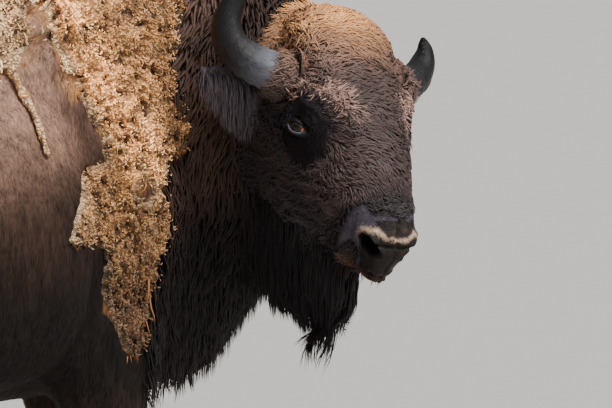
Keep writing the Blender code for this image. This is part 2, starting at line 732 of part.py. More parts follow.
def named_pieces(body, collection):
    """Splits the parted flesh into objects, each named by the place it is nearest to."""
    bm = bmesh.new()
    bm.from_mesh(body.data)
    made = {}
    for group in loose_groups(bm):
        if len(group) < CRUMB_POINTS:
            continue
        piece = bm.copy()
        piece.verts.ensure_lookup_table()
        keep = {v.index for v in group}
        bmesh.ops.delete(
            piece, geom=[v for v in piece.verts if v.index not in keep], context="VERTS"
        )
        low = Vector([min(v.co[i] for v in piece.verts) for i in range(3)])
        high = Vector([max(v.co[i] for v in piece.verts) for i in range(3)])
        middle = (low + high) / 2
        name = min(FLESH_PLACES, key=lambda n: (Vector(FLESH_PLACES[n]) - middle).length)
        assert name not in made, name
        mesh = bpy.data.meshes.new(name)
        piece.to_mesh(mesh)
        piece.free()
        made[name] = bpy.data.objects.new(name, mesh)
        collection.objects.link(made[name])
    bm.free()
    missing = set(FLESH_PLACES) - set(made)
    assert not missing, missing
    bpy.data.objects.remove(body)
    return made


COLOURS = {  # (red, green, blue, roughness), first match wins
    "claw": (0.050, 0.043, 0.038, 0.45),
    "horn": (0.070, 0.075, 0.085, 0.40),
    "eye": (0.020, 0.010, 0.006, 0.10),
    "ear": (0.060, 0.048, 0.045, 0.90),
    "head": (0.085, 0.055, 0.042, 0.90),
    "beard": (0.020, 0.016, 0.015, 0.90),
    "tuft": (0.020, 0.016, 0.015, 0.90),
    "neck": (0.060, 0.040, 0.030, 0.90),
    "thorax": (0.200, 0.120, 0.060, 0.90),
    "lower": (0.060, 0.040, 0.030, 0.90),
    "": (0.120, 0.080, 0.055, 0.90),
}


def give_material(obj):
    red, green, blue, rough = next(c for key, c in COLOURS.items() if key in obj.name)
    material = bpy.data.materials.new(obj.name)
    material.use_nodes = True
    shader = material.node_tree.nodes["Principled BSDF"]
    shader.inputs["Base Color"].default_value = (red, green, blue, 1)
    shader.inputs["Roughness"].default_value = rough
    obj.data.materials.clear()
    obj.data.materials.append(material)


def centre_on_floor(pieces):
    """Moves the animal so that the origin is the middle of its box, on the floor."""
    points = [v.co for obj in pieces for v in obj.data.vertices]
    low = [min(p[i] for p in points) for i in range(3)]
    high = [max(p[i] for p in points) for i in range(3)]
    shift = Vector((-(low[0] + high[0]) / 2, -(low[1] + high[1]) / 2, -low[2]))
    for obj in pieces:
        obj.data.transform(Matrix.Translation(shift))


def main():
    for obj in list(bpy.data.objects):
        bpy.data.objects.remove(obj)
    animal = bpy.data.collections.new("wisent")
    cutters = bpy.data.collections.new("cutters")
    for collection in (animal, cutters):
        bpy.context.scene.collection.children.link(collection)
    body = build_flesh(animal)
    shape_face(body, cutters)
    hard = build_hard_parts(animal)
    for obj in hard.values():
        if "_claw_" not in obj.name:
            cut(body, inflated(obj, GAP, cutters))
    cut(body, block_below(HOOF_HEIGHT + GAP, cutters))
    for name, plate in PARTINGS.items():
        cut(body, slab(name + "_parting", *plate, cutters))
    pieces = named_pieces(body, animal)
    pieces.update(hard)
    for obj in pieces.values():
        give_material(obj)
    centre_on_floor(pieces.values())
    for obj in cutters.objects:
        obj.hide_render = True
        obj.display_type = "WIRE"


main()
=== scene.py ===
"""A wisent bull in his spring moult, life size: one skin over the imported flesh, a coat of
tufts and locks, old wool coming away from the shoulders, horns, hooves and eyes."""

import math
from contextlib import contextmanager

import bmesh
import bpy
import numpy as np
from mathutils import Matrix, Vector
from mathutils.bvhtree import BVHTree


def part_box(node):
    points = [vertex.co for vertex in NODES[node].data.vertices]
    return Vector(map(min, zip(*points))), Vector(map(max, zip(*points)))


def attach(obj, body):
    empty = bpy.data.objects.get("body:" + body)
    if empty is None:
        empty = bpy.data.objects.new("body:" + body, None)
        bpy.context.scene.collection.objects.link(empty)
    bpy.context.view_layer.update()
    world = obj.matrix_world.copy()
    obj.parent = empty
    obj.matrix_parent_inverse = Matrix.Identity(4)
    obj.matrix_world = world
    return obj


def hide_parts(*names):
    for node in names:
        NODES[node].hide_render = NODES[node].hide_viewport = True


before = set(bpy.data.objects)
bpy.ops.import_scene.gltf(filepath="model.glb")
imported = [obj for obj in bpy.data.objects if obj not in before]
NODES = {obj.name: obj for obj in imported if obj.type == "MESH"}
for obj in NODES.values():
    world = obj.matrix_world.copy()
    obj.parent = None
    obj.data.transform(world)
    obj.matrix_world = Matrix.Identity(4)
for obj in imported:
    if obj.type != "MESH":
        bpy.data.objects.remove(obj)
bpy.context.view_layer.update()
LEGS = ("foreleg_right", "foreleg_left", "hindleg_right", "hindleg_left")
SIDES = (-1, 1)  # the bull's right and left
rng = np.random.default_rng(41)

# ---- small helpers -------------------------------------------------------------------


def unit(rows):
    """Rows of vectors at length 1."""
    rows = np.asarray(rows, float)
    return rows / np.maximum(np.linalg.norm(rows, axis=-1, keepdims=True), 1e-9)


def ramp(value, low, high):
    """0 at low, 1 at high, smooth between."""
    t = np.clip((value - low) / (high - low), 0.0, 1.0)
    return t * t * (3 - 2 * t)


def bell(value, width):
    """1 at 0, and down to nothing over about twice the width on each side."""
    return np.exp(-((value / width) ** 2))


def mix(first, second, share):
    """first where share is 0, second where it is 1, for rows of vectors."""
    share = np.asarray(share)[..., None]
    return first * (1 - share) + second * share


def tone(red, green, blue):
    """A linear colour from the red, green and blue of a paint chart, 0 to 255."""
    chart = np.array((red, green, blue)) / 255
    return np.where(chart <= 0.04, chart / 12.92, ((chart + 0.055) / 1.055) ** 2.4)


def drift(points, size, seed):
    """Smooth random values from -1 to 1 that change over about the given size."""
    spot = np.asarray(points, float) / size + seed * 17.31
    low = np.floor(spot).astype(np.int64)
    t = spot - low
    t = t * t * (3 - 2 * t)
    total = np.zeros(len(spot))
    for corner in range(8):
        step = np.array((corner & 1, corner >> 1 & 1, corner >> 2 & 1))
        cell = low + step
        code = cell[:, 0] * 73856093 ^ cell[:, 1] * 19349663 ^ cell[:, 2] * 83492791
        code = (code ^ seed * 2654435761) & 0xFFFFFFFF
        code = (code ^ code >> 13) * 1274126177 & 0xFFFFFFFF
        value = ((code ^ code >> 16) & 0xFFFF) / 32767.5 - 1
        total += value * np.where(step, t, 1 - t).prod(axis=1)
    return total


def swirled(points, amount, size, seed):
    """Points shifted at random by up to the amount, near ones together."""
    return points + amount * np.stack([drift(points, size, seed + k) for k in range(3)], 1)


def near_line(points, line):
    """Distance of each point from a line of straight runs, and how far along it, 0 to 1."""
    line = np.asarray(line, float)
    best, along = np.full(len(points), 1e9), np.zeros(len(points))
    for i, start in enumerate(line[:-1]):
        run = line[i + 1] - start
        t = np.clip((points - start) @ run / (run @ run), 0, 1)
        gap = np.linalg.norm(points - start - t[:, None] * run, axis=1)
        along = np.where(gap < best, (i + t) / (len(line) - 1), along)
        best = np.minimum(best, gap)
    return best, along


def splined(values, parts):
    """Rows of numbers with parts - 1 more rows between each two, on a smooth curve."""
    rows = np.asarray(values, float)
    padded = np.vstack([2 * rows[0] - rows[1], rows, 2 * rows[-1] - rows[-2]])
    made = []
    for i in range(1, len(rows)):
        p0, p1, p2, p3 = padded[i - 1 : i + 3]
        for t in np.arange(parts) / parts:
            bend = (2 * p0 - 5 * p1 + 4 * p2 - p3) * t**2 + (3 * p1 - p0 - 3 * p2 + p3) * t**3
            made.append(0.5 * (2 * p1 + (p2 - p0) * t + bend))
    return np.array(made + [rows[-1]])


def corners_of(node):
    """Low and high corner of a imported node's box."""
    return [np.array(corner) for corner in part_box(node)]


def middle(node):
    """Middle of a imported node's box."""
    return sum(corners_of(node)) / 2


def depth_in(node, points):
    """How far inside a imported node's box each point is, negative outside."""
    low, high = corners_of(node)
    return np.minimum(points - low, high - points).min(axis=1)


# ---- axes of the head ----------------------------------------------------------------
# Forward runs from the eyes to the nostrils, left to the bull's left, up out of the brow.
EYE_SIDE = 0.1215
EYE_RADIUS = 0.0195
EYES = (middle("eye_right") + middle("eye_left")) / 2
FORWARD = unit((-0.168, -0.737, -0.656))
UP = unit(np.cross(FORWARD, (0.985, -0.092, -0.149)))
HEAD_AXES = np.array((FORWARD, unit(np.cross(UP, FORWARD)), UP))


def head_place(points):
    """Places in the head's axes: forward, left and up from midway between the eyes."""
    return (np.asarray(points) - EYES) @ HEAD_AXES.T


def from_head(places):
    """Places in the room from places in the head's axes."""
    return np.asarray(places) @ HEAD_AXES + EYES


def on_head(points):
    """1 on the head and beard, 0 on the neck and body."""
    return ramp(-points[:, 1], 0.125, 0.185) * ramp(points[:, 0], 0.63, 0.67)


# ---- regions of the head -------------------------------------------------------------
BROW_LINE = [(-0.056, 0.135, 0.043), (-0.057, 0.116, 0.065), (-0.034, 0.098, 0.074)]
BROW_LINE += [(-0.011, 0.079, 0.079), (0.036, 0.058, 0.083), (0.070, 0.053, 0.077)]
NOSTRIL = np.array((0.279, 0.050, -0.023))
MOUTH_LINE = [(0.307, 0.0, -0.080), (0.302, 0.020, -0.080), (0.264, 0.035, -0.108)]
MOUTH_LINE += [(0.237, 0.056, -0.125), (0.190, 0.070, -0.140)]
RIM_LINE = [(0.240, 0.068, -0.040), (0.250, 0.065, -0.012), (0.262, 0.055, 0.005)]
RIM_LINE += [(0.271, 0.044, 0.012), (0.285, 0.026, 0.007), (0.289, 0.006, 0.008)]
RIM_LINE += [(0.289, 0.0, 0.008)]
# A groove under the rims: sunk in the skin, and painted dark as painted shadow.
SLOT_LINE = [(0.290, 0.038, -0.006), (0.295, 0.020, -0.006), (0.297, 0.004, -0.004)]


def mirrored(place):
    """Head places with both sides folded onto the left one."""
    return place * (1, 0, 1) + np.abs(place[:, 1:2]) * (0, 1, 0)


def eye_patch(place):
    """1 in the short dark hair round each eye."""
    folded = mirrored(place)
    away = (folded - (0.013, 0.118, 0.006)) / (0.080, 0.062, 0.062)
    size = np.linalg.norm(away, axis=1) + 0.10 * drift(place, 0.024, 8)
    size = size + 0.07 * drift(place, 0.009, 9)
    return (1 - ramp(size, 0.80, 1.00)) * ramp(near_line(folded, BROW_LINE)[0], 0.010, 0.018)


def under_mouth(place):
    """1 on the chin, below the lower lip."""
    drop = -place[:, 2] - 0.080 - 0.5 * (0.309 - place[:, 0])
    return ramp(drop, 0.010, 0.022) * ramp(place[:, 0], 0.14, 0.18)


def past_nose_hair(place):
    """How far forward of the edge of the long nose hair a place is, in metres."""
    wander = 0.006 * drift(place, 0.03, 3) + 0.003 * drift(place, 0.009, 7)
    wide = np.abs(place[:, 1])
    edge = 0.262 - 0.57 * np.minimum(wide, 0.064) - 0.026 * ramp(wide, 0.046, 0.062)
    return place[:, 0] + 0.25 * place[:, 2] + wander - edge


def nostril_reach(place, side):
    """Size of each place against one nostril's opening, its axis, and depth and height there."""
    axis = unit((0.66, side * 0.74, 0.02))
    length = unit(np.cross(axis, (0.30, 0.0, 1.0)))
    length = length * np.sign(length[1] * side)
    height = unit(np.cross(axis, length))
    height = height * np.sign(height[2])
    length, height = length * 0.98 - height * 0.17, length * 0.17 + height * 0.98
    offset = place - NOSTRIL * (1, side, 1)
    t, h = offset @ length, offset @ height
    wide = np.where(h > 0, 0.0185, 0.0205) * (1 + 0.22 * np.clip(t / 0.028, -1, 1))
    return np.hypot(t / 0.0305, h / wide), axis, offset @ axis, h


def muzzle(place):
    """1 on the short hair and bare skin of the muzzle."""
    return ramp(past_nose_hair(place), -0.016, 0.006) * (1 - under_mouth(place))


def bare_pad(place):
    """1 on the naked skin between and round the nostrils."""
    f, side, u = place.T
    flank = 0.75 + 1.6 * ramp(-u, 0.02, 0.05)
    start = 0.243 + flank * np.maximum(np.abs(side) - 0.036, 0) + 0.004 * drift(place, 0.012, 4)
    half = np.minimum(0.050 + 0.5 * (u + 0.035), 0.09)
    under = 1 - ramp(np.abs(side) + 0.004 * drift(place, 0.008, 10) - half, 0.0, 0.007)
    return ramp(f - 0.35 * u - start, 0.0, 0.006) * under * ramp(u, -0.092, -0.080)


def crown(place):
    """1 on the long hair between and behind the horns."""
    return ramp(-place[:, 0], 0.055, 0.125) * ramp(place[:, 2], -0.02, 0.035)


def beard(points, place):
    """1 in the long black hair of the chin, jaw and throat."""
    return ramp(-place[:, 2] - 0.30 * (0.20 - place[:, 0]), 0.105, 0.165) * on_head(points)


# ---- shape of the eyes ---------------------------------------------------------------
SLIT_HALF = 0.0178  # half the length of the opening between the lids
SLIT_UP = 0.0098
SLIT_DOWN = 0.0092


def eye_axes(side):
    """Middle of an eyeball, with its outward axis and the slit's two directions."""
    axis = unit((0.44, side * 0.76, 0.42))
    hint = np.array((0.727, -side * 0.62, 0.296))
    length = unit(hint - (hint @ axis) * axis)
    height = unit(np.cross(axis, length))
    return np.array((0, side * EYE_SIDE, 0)), axis, length, height * np.sign(height[2])


def slit_size(t, h):
    """1 on the edge of the opening, less inside it, more outside."""
    return np.hypot(t / SLIT_HALF, h / np.where(h > 0, SLIT_UP, SLIT_DOWN))


def round_eye(place, side):
    """Size of each place against one eye's opening, and its place out of it and up from it."""
    centre, axis, length, height = eye_axes(side)
    offset = place - centre
    return slit_size(offset @ length, offset @ height), offset @ axis, offset @ height


# ---- old wool on the shoulders -------------------------------------------------------
# The rear and the front edge of the shed wool along the body, at rising heights.
WOOL_HEIGHTS = (0.840, 0.880, 0.940, 0.990, 1.076, 1.098, 1.112, 1.174, 1.238, 1.252)
WOOL_HEIGHTS += (1.290, 1.330, 1.380, 1.440, 1.500, 1.545, 1.600, 1.680, 1.760, 1.900)
WOOL_REAR = (0.545, 0.505, 0.478, 0.466, 0.476, 0.430, 0.337, 0.360, 0.405, 0.480)
WOOL_REAR += (0.470, 0.456, 0.438, 0.418, 0.386, 0.398, 0.330, 0.160, 0.000, -0.050)
WOOL_FRONT = (0.550, 0.570, 0.578, 0.587, 0.618, 0.620, 0.621, 0.614, 0.618, 0.700)
WOOL_FRONT += (0.706, 0.698, 0.683, 0.690, 0.712, 0.745, 0.740, 0.690, 0.600, 0.560)
MIDLINE = 0.148  # of the trunk, across
# The thick fold that the loose wool hangs in, down over the shoulder: raised, and pale partly in
# its own colour and partly as a painted highlight.
DRAPE = [(0.415, -0.045, 1.550), (0.447, -0.059, 1.488), (0.498, -0.086, 1.388)]
DRAPE += [(0.545, -0.108, 1.300), (0.565, -0.112, 1.230), (0.545, -0.120, 1.150)]
DRAPE += [(0.560, -0.120, 1.090)]


def wool_cover(points):
    """How far inside the edge of the old wool a place is, in metres, negative outside."""
    x, y, z = points.T
    other = y > MIDLINE
    along = x + np.where(other, 0.035 * np.sin(z * 21) - 0.02, 0.0)
    level = np.where(other, z + 0.05, z)
    rear = np.interp(level, WOOL_HEIGHTS, WOOL_REAR)
    front = np.interp(level, WOOL_HEIGHTS, WOOL_FRONT)
    strip = np.minimum(np.minimum(along - rear, front - along), level - 0.845)
    hem = 1.448 + 0.030 * np.sin(x * 17 + 1.4)
    tail_end = x + 0.17 + 0.05 * np.sin(y * 11 + 1.0) + 0.05 * drift(points, 0.11, 13)
    patch = np.minimum(np.minimum(0.338 - x, tail_end), z - hem)
    window = np.hypot((x - 0.565) / 1.2, z - 1.180) - 0.019
    cover = np.minimum(np.maximum(strip, patch), np.where(other, 1.0, window))
    torn = 0.010 * drift(points, 0.030, 11) + 0.006 * drift(points, 0.011, 12)
    near_head = ramp(-y, 0.10, 0.13) * ramp(x, 0.62, 0.66)
    inner = (y > -0.03) & (y < 0.32) & (z < 1.0) & (z > 0.86)
    return cover + torn - 0.4 * near_head - 0.3 * inner


def wool_rear(points):
    """1 on the paler wool behind the withers."""
    return 1 - ramp(points[:, 0] + 0.05 * drift(points, 0.06, 58), 0.27, 0.41)


def wool_low(points):
    """0.8 low on the shoulder, where the wool lies in shade, less above."""
    return 0.80 * (1 - ramp(points[:, 2], 0.92, 1.20))


def cracks(points):
    """1 in the gaps between the clumps of old wool."""
    bent = swirled(points, 0.010, 0.022, 55)
    return 1 - ramp(np.abs(drift(bent * (1, 1, 0.8), 0.042, 54)), 0.02, 0.16)


def wool_clouds(points):
    """Broad lighter and darker patches of the old wool, the fold paler, partly its own colour and
    partly a painted highlight, and painted shade in the cracks.
    """
    patches = drift(points * (1, 1, 0.7), 0.055, 52) + 0.6 * drift(points, 0.024, 53)
    fold = bell(near_line(points, DRAPE)[0], 0.058)
    level = (0.95 + 0.36 * patches) * (0.74 + 1.45 * fold * ramp(points[:, 2], 1.12, 1.30))
    # Painted shade in the cracks between the clumps.
    return (level * (1 + 0.8 * wool_rear(points)) * (1 - 0.55 * cracks(points)))[:, None]


def wool_lumps(points):
    """Height of the old wool's lumps, 1 on top and -1 in the gaps, and of its fine crimp."""
    lumps = 1 - np.abs(drift(swirled(points, 0.006, 0.02, 84) * (1, 1, 0.8), 0.0115, 81)) * 2.6
    return np.clip(lumps, -1, 1), 1 - np.abs(drift(points, 0.0048, 82)) * 2.0


def wool_height(points):
    """How high the outer face of the old wool stands over the skin."""
    lumps, fine = wool_lumps(points)
    high = 0.009 + 0.0070 * lumps + 0.0025 * fine + 0.005 * drift(points, 0.06, 83)
    return high + 0.012 * bell(near_line(points, DRAPE)[0], 0.028) - 0.006 * cracks(points)


# ---- colours of the coat -------------------------------------------------------------
GOLD = tone(250, 178, 106)
GOLD_PALE = tone(254, 222, 178)
GOLD_DEEP = tone(94, 48, 24)
WOOL_SHADE = tone(70, 44, 29)
CROWN_TAN = tone(220, 156, 98)
CROWN_BROWN = tone(118, 90, 78)
FACE_BROWN = tone(64, 49, 47)
BROW_TAN = tone(160, 126, 114)
NOSE_DARK = tone(30, 25, 27)
SOOT = tone(23, 19, 20)
EYE_DARK = tone(25, 21, 24)
# Blue-grey of the lower lids, partly their bare skin and partly painted sheen, and of the painted
# sheen above the eyes.
LID_AND_SHEEN_GREY = tone(96, 98, 108)
CHEEK_BLACK = tone(45, 38, 41)
MUZZLE_GREY = tone(92, 85, 96)
PAD_DARK = tone(31, 26, 24)
PAD_BROWN = tone(50, 39, 34)
RIM_CREAM = tone(190, 162, 138)
CHIN_BROWN = tone(86, 59, 42)
EAR_GREY = tone(100, 90, 95)
NECK_BROWN = tone(46, 34, 29)
SHOULDER_BROWN = tone(78, 57, 48)
FLANK_BROWN = tone(134, 104, 88)
# FLANK_WARM and the colour below darken the barrel low down: partly its own darker hair, partly
# painted shade.
FLANK_WARM = tone(50, 33, 24)
UNDERSIDE_AND_SHADE = tone(22, 17, 15)
LEG_BROWN = tone(46, 33, 27)


def painted(count, base, *layers):
    """A base colour for each place, and layers of colour over it, each with its share."""
    colour = np.tile(base, (count, 1))
    for tint, share in layers:
        colour = mix(colour, tint, share)
    return colour


def body_markings(points):
    """Colour of the neck, trunk, tail and legs, with painted shade under the barrel and behind
    the shoulder.
    """
    x, y, z = points.T
    count = len(x)
    broad = drift(points, 0.16, 21)
    height = z + 0.05 * broad
    neck = ramp(x, 0.60, 0.72)
    top = ramp(z - 0.5 * (x - 0.60), 1.36, 1.56)
    # Painted shade in the hollow behind the shoulder.
    hollow = ramp(x, 0.27, 0.36) * (1 - ramp(x, 0.46, 0.54)) * (1 - ramp(height, 1.10, 1.36))
    cape = neck * 0.9 * ramp(z, 1.10, 1.22) * (1 - top) * (1 - ramp(x, 0.70, 0.82))
    tuft = (x < -1.02) & (z < 0.87) & (y > 0.09) & (y < 0.21) & (z > 0.47)
    colour = painted(
        count,
        FLANK_BROWN,
        (SHOULDER_BROWN, ramp(x + 0.05 * broad, 0.36, 0.46)),
        # Darker down the barrel to near black under the body: partly the bull's own dark
        # underside, partly painted shade.
        (FLANK_WARM, 0.62 * (1 - ramp(height, 1.16, 1.36))),
        (FLANK_WARM, 0.80 * (1 - ramp(height, 1.06, 1.24))),
        (UNDERSIDE_AND_SHADE, 1 - ramp(height, 0.98, 1.22)),
        (UNDERSIDE_AND_SHADE, 0.6 * hollow),
        (FLANK_WARM, 0.45 * ramp(-x, 0.35, 0.9)),
        (painted(count, NECK_BROWN, (CROWN_BROWN, 0.9 * top)), neck),
        (SHOULDER_BROWN, cape),
        (SOOT, 0.85 * neck * (1 - ramp(height, 1.05, 1.30))),
        (LEG_BROWN, 1 - ramp(z, 0.66, 0.84)),
        (SOOT, 0.5 * (1 - ramp(z, 0.30, 0.52))),
        (SOOT, 0.9 * tuft),
    )
    streaks = 0.26 * drift(points * (1, 1, 0.12), 0.016, 22)
    streaks = streaks + 0.16 * drift(points * (1, 1, 0.10), 0.006, 23)
    colour = colour * (1 + streaks + 0.16 * broad)[:, None]
    return mix(colour, GOLD_DEEP * 0.6 + GOLD * 0.4, ramp(wool_cover(points), 0.003, 0.010))


def head_markings(points):
    """Colour of the head and beard."""
    place = head_place(points)
    folded = mirrored(place)
    f, side, u = place.T
    count = len(f)
    broad = drift(points, 0.07, 31)
    fine = drift(points, 0.018, 32)
    high = ramp(-f + 0.02 * broad, 0.02, 0.14) * ramp(u, -0.04, 0.03)
    # Tan hair on top of the crown: partly its own colour, partly painted light on the top and on
    # the bull's left side.
    lit = ramp(points[:, 2] + 0.02 * broad, 1.435, 1.535) * high
    gap, along = near_line(folded, BROW_LINE)
    brow = (1 - ramp(gap, 0.006, 0.018)) * (1 - ramp(along, 0.62, 0.90))
    dark_eye = eye_patch(place)
    # A painted sheen on the dark hair above and behind each eye.
    sheen = bell(f + 0.036, 0.020) * bell(u - 0.010, 0.022) * dark_eye
    past = past_nose_hair(place)
    far = 0.014 + 0.040 * ramp(np.abs(side), 0.042, 0.056)
    band = ramp(past, 0.003, 0.012) * (1 - ramp(past - far, -0.004, 0.006))
    band = band * (1 - under_mouth(place)) * ramp(u, -0.115, -0.060)
    speckle = ramp(drift(points, 0.0035, 36), 0.1, 0.7)
    speckle = speckle * ramp(-u, 0.060, 0.080) * ramp(f, 0.22, 0.26)
    pad = painted(count, PAD_DARK, (PAD_BROWN, ramp(drift(points, 0.011, 35), -0.1, 0.8)))
    layers = [
        (CHEEK_BLACK, ramp(-u - 0.35 * f + 0.02 * broad, -0.045, 0.040)),
        (SOOT, 0.8 * ramp(-u, 0.12, 0.20)),
        (NOSE_DARK, 0.92 * ramp(f + 0.01 * broad, 0.150, 0.215)),
        (CROWN_BROWN, 0.85 * high),
        (CROWN_TAN, lit * np.clip(0.85 + 0.3 * broad + 1.6 * side, 0.15, 1)),
        (BROW_TAN, np.clip(brow * (0.85 + 0.5 * fine), 0, 1)),
        (SOOT, 0.65 * ramp(-f, -0.02, 0.05) * ramp(-u, -0.03, 0.03)),
        (EYE_DARK, dark_eye),
        (LID_AND_SHEEN_GREY * 0.7, 0.5 * sheen * (1 + 0.4 * fine)),
        (CHEEK_BLACK * 0.6, muzzle(place)),
        (MUZZLE_GREY, 0.70 * band),
        (pad, bare_pad(place)),
        (CHIN_BROWN, 0.5 * speckle),
    ]
    for eye_side in SIDES:
        size, out, over = round_eye(place, eye_side)
        # Dark lids, the lower one blue-grey: partly its bare skin, partly a painted sheen.
        lid = 0.8 * ((1 - ramp(size, 1.18, 1.7)) * (out > 0) * (out < 0.05))
        layers.append((painted(count, EYE_DARK, (LID_AND_SHEEN_GREY, ramp(-over, -0.002, 0.005))), lid))
    gap, along = near_line(folded, RIM_LINE)
    mottle = drift(points, 0.005, 33)
    ragged = gap + 0.003 * mottle + 0.002 * drift(points, 0.0022, 34)
    wide = 0.0090 - 0.0035 * ramp(along, 0.45, 0.75)
    rim = (1 - ramp(ragged / wide, 0.20, 1.25)) * ramp(along, 0.02, 0.30)
    layers.append((RIM_CREAM, np.clip(rim * (0.74 + 0.40 * mottle), 0, 1)))
    # Painted shade: the inside of each nostril painted near black.
    for nostril_side in SIDES:
        radius, _, deep, _ = nostril_reach(place, nostril_side)
        layers.append((PAD_DARK * 0.12, (1 - ramp(radius, 0.74, 0.94)) * (np.abs(deep) < 0.05)))
    # Painted shadow in the groove under the rims.
    layers.append((PAD_DARK * 0.3, 1 - ramp(near_line(folded, SLOT_LINE)[0], 0.002, 0.006)))
    gap, along = near_line(folded, MOUTH_LINE)
    lip = (1 - ramp(gap, 0.022, 0.040)) * (1 - ramp(along, 0.60, 0.90)) * ramp(-u, 0.080, 0.096)
    colour = painted(count, FACE_BROWN, *layers, (CHIN_BROWN, 0.8 * lip))
    return colour * (1 + 0.22 * broad + 0.12 * fine)[:, None]


def markings(points):
    """Colour of the coat at each place, the same for the skin and for the hair on it."""
    colour = mix(body_markings(points), head_markings(points), on_head(points))
    out = ramp(np.abs(head_place(points)[:, 1]), 0.135, 0.165)
    for node in ("ear_right", "ear_left"):
        colour = mix(colour, EAR_GREY, ramp(depth_in(node, points), -0.006, 0.002) * out)
    return np.clip(colour, 0.002, 0.9)


def wool_tint(points, chance):
    """Colour of the curls of old wool, paler at the torn edges."""
    shade = 0.5 + 0.35 * drift(points, 0.012, 51) + 0.3 * (chance - 0.5)
    # Lighter on the lumps and darker in the gaps between them: painted light and shade over the
    # wool's relief.
    shade = shade + 0.25 * wool_lumps(points)[0]
    colour = painted(
        len(points),
        GOLD_DEEP,
        (GOLD, np.clip(0.25 + 0.75 * shade, 0, 1)),
        (GOLD_PALE, np.clip(shade - 0.45, 0, 1) * 0.8),
        (GOLD_PALE, 0.65 * (1 - ramp(wool_cover(points), -0.002, 0.010))),
        (GOLD_PALE, 0.60 * wool_rear(points)),
        (WOOL_SHADE, wool_low(points)),
    )
    return colour * wool_clouds(points)


# ---- depth of the coat ---------------------------------------------------------------


def coat_depth(points):
    """How far the skin lies under the outer face of the coat."""
    x, _, z = points.T
    place = head_place(points)

    def toward(depth, other, share):
        return depth * (1 - share) + other * share

    body = 0.008 + 0.014 * ramp(x, 0.42, 0.64) + 0.008 * ramp(z, 1.50, 1.68)
    body = body + 0.012 * ramp(wool_cover(points), -0.004, 0.010) * (1 - ramp(x, 0.5, 0.7))
    body = body + 0.012 * ramp(x, 0.62, 0.76) * (1 - ramp(z, 0.92, 1.12))
    body = toward(body, 0.005, 1 - ramp(z, 0.52, 0.80))
    head = 0.010 + 0.018 * crown(place) + 0.006 * ramp(-place[:, 2], 0.05, 0.10)
    head = head + 0.022 * beard(points, place) - 0.007 * eye_patch(place)
    head = toward(head, 0.001, np.maximum(muzzle(place), bare_pad(place)))
    depth = toward(body, head, on_head(points))
    for node, thin in (("ear_right", 0.004), ("ear_left", 0.004), ("tail_tuft", 0.016)):
        depth = toward(depth, thin, ramp(depth_in(node, points), -0.004, 0.004))
    tail = ramp(depth_in("tail", points), -0.004, 0.004) * ramp(-x, 1.09, 1.11)
    return toward(depth, 0.005, tail)


# ---- materials -----------------------------------------------------------------------


class Finish:
    """A node material that is being put together."""

    def __init__(self, name):
        self.material = bpy.data.materials.new(name)
        self.material.use_nodes = True
        self.tree = self.material.node_tree
        self.shader = next(n for n in self.tree.nodes if n.type == "BSDF_PRINCIPLED")

    def set(self, node, **inputs):
        """Sets a node's inputs by name, or by number as in i0, to values or other nodes."""
        for key, value in inputs.items():
            socket = node.inputs[int(key[1:]) if key[1:].isdigit() else key.replace("_", " ")]
            if isinstance(value, bpy.types.NodeSocket):
                self.tree.links.new(value, socket)
            else:
                socket.default_value = value

    def surface(self, **inputs):
        """Sets the shader's inputs and gives the material."""
        self.set(self.shader, **inputs)
        return self.material

    def add(self, kind, settings=(), **inputs):
        """Outputs of a new node."""
        node = self.tree.nodes.new("ShaderNode" + kind)
        for key, value in settings:
            setattr(node, key, value)
        self.set(node, **inputs)
        return node.outputs

    def math(self, operation, first, second):
        return self.add("Math", [("operation", operation)], i0=first, i1=second)[0]

    def ranged(self, value, from_low, from_high, to_low, to_high):
        return self.add("MapRange", i0=value, i1=from_low, i2=from_high, i3=to_low, i4=to_high)[0]

    def scaled(self, colour, factor):
        return self.add("VectorMath", [("operation", "SCALE")], Vector=colour, Scale=factor)[0]

    def noise(self, place, scale, detail):
        return self.add("TexNoise", Vector=place, Scale=scale, Detail=detail)[0]

    def cells(self, place, scale):
        return self.add("TexVoronoi", Vector=place, Scale=scale)[0]

    def bump(self, height, strength, distance):
        return self.add("Bump", Height=height, Strength=strength, Distance=distance)[0]

    def stored(self, name):
        return self.add("Attribute", [("attribute_name", name)])

    def tint(self):
        return self.stored("tint")["Color"]

    def place(self):
        return self.add("TexCoord")["Object"]

    def stretched(self, place, *scale, **turn):
        return self.add("Mapping", Vector=place, Scale=scale, **turn)[0]

    def strand(self):
        """Place across and along a lock, or round and along a horn, and a third value."""
        return self.add("SeparateXYZ", Vector=self.stored("strand")["Vector"])


def hair_material(name, streak, gloss, specular, sheen, root, tip):
    """Hair in its own markings: fine streaks along each lock, and a root-to-tip shade whose
    darker roots are partly the hair's own colour and partly painted shade deep in the coat.
    """
    finish = Finish(name)
    across, along, chance = finish.strand()
    shifted = finish.math("MULTIPLY", chance, 91.0)
    slide = finish.math("ADD", finish.math("MULTIPLY", across, 3.0), shifted)
    lane = finish.add("CombineXYZ", X=slide, Y=along, Z=shifted)[0]
    noise = finish.noise(lane, 1.6, 3.0)
    light = finish.ranged(noise, 0.28, 0.72, 1 - streak, 1 + streak)
    both = finish.math("MULTIPLY", light, finish.ranged(along, 0.0, 0.9, root, tip))
    return finish.surface(
        Base_Color=finish.scaled(finish.tint(), both),
        Normal=finish.bump(noise, 0.5, 0.0012),
        Roughness=gloss,
        Specular_IOR_Level=specular,
        Sheen_Weight=sheen,
        Sheen_Roughness=0.45,
        Sheen_Tint=(0.85, 0.72, 0.66, 1),
    )


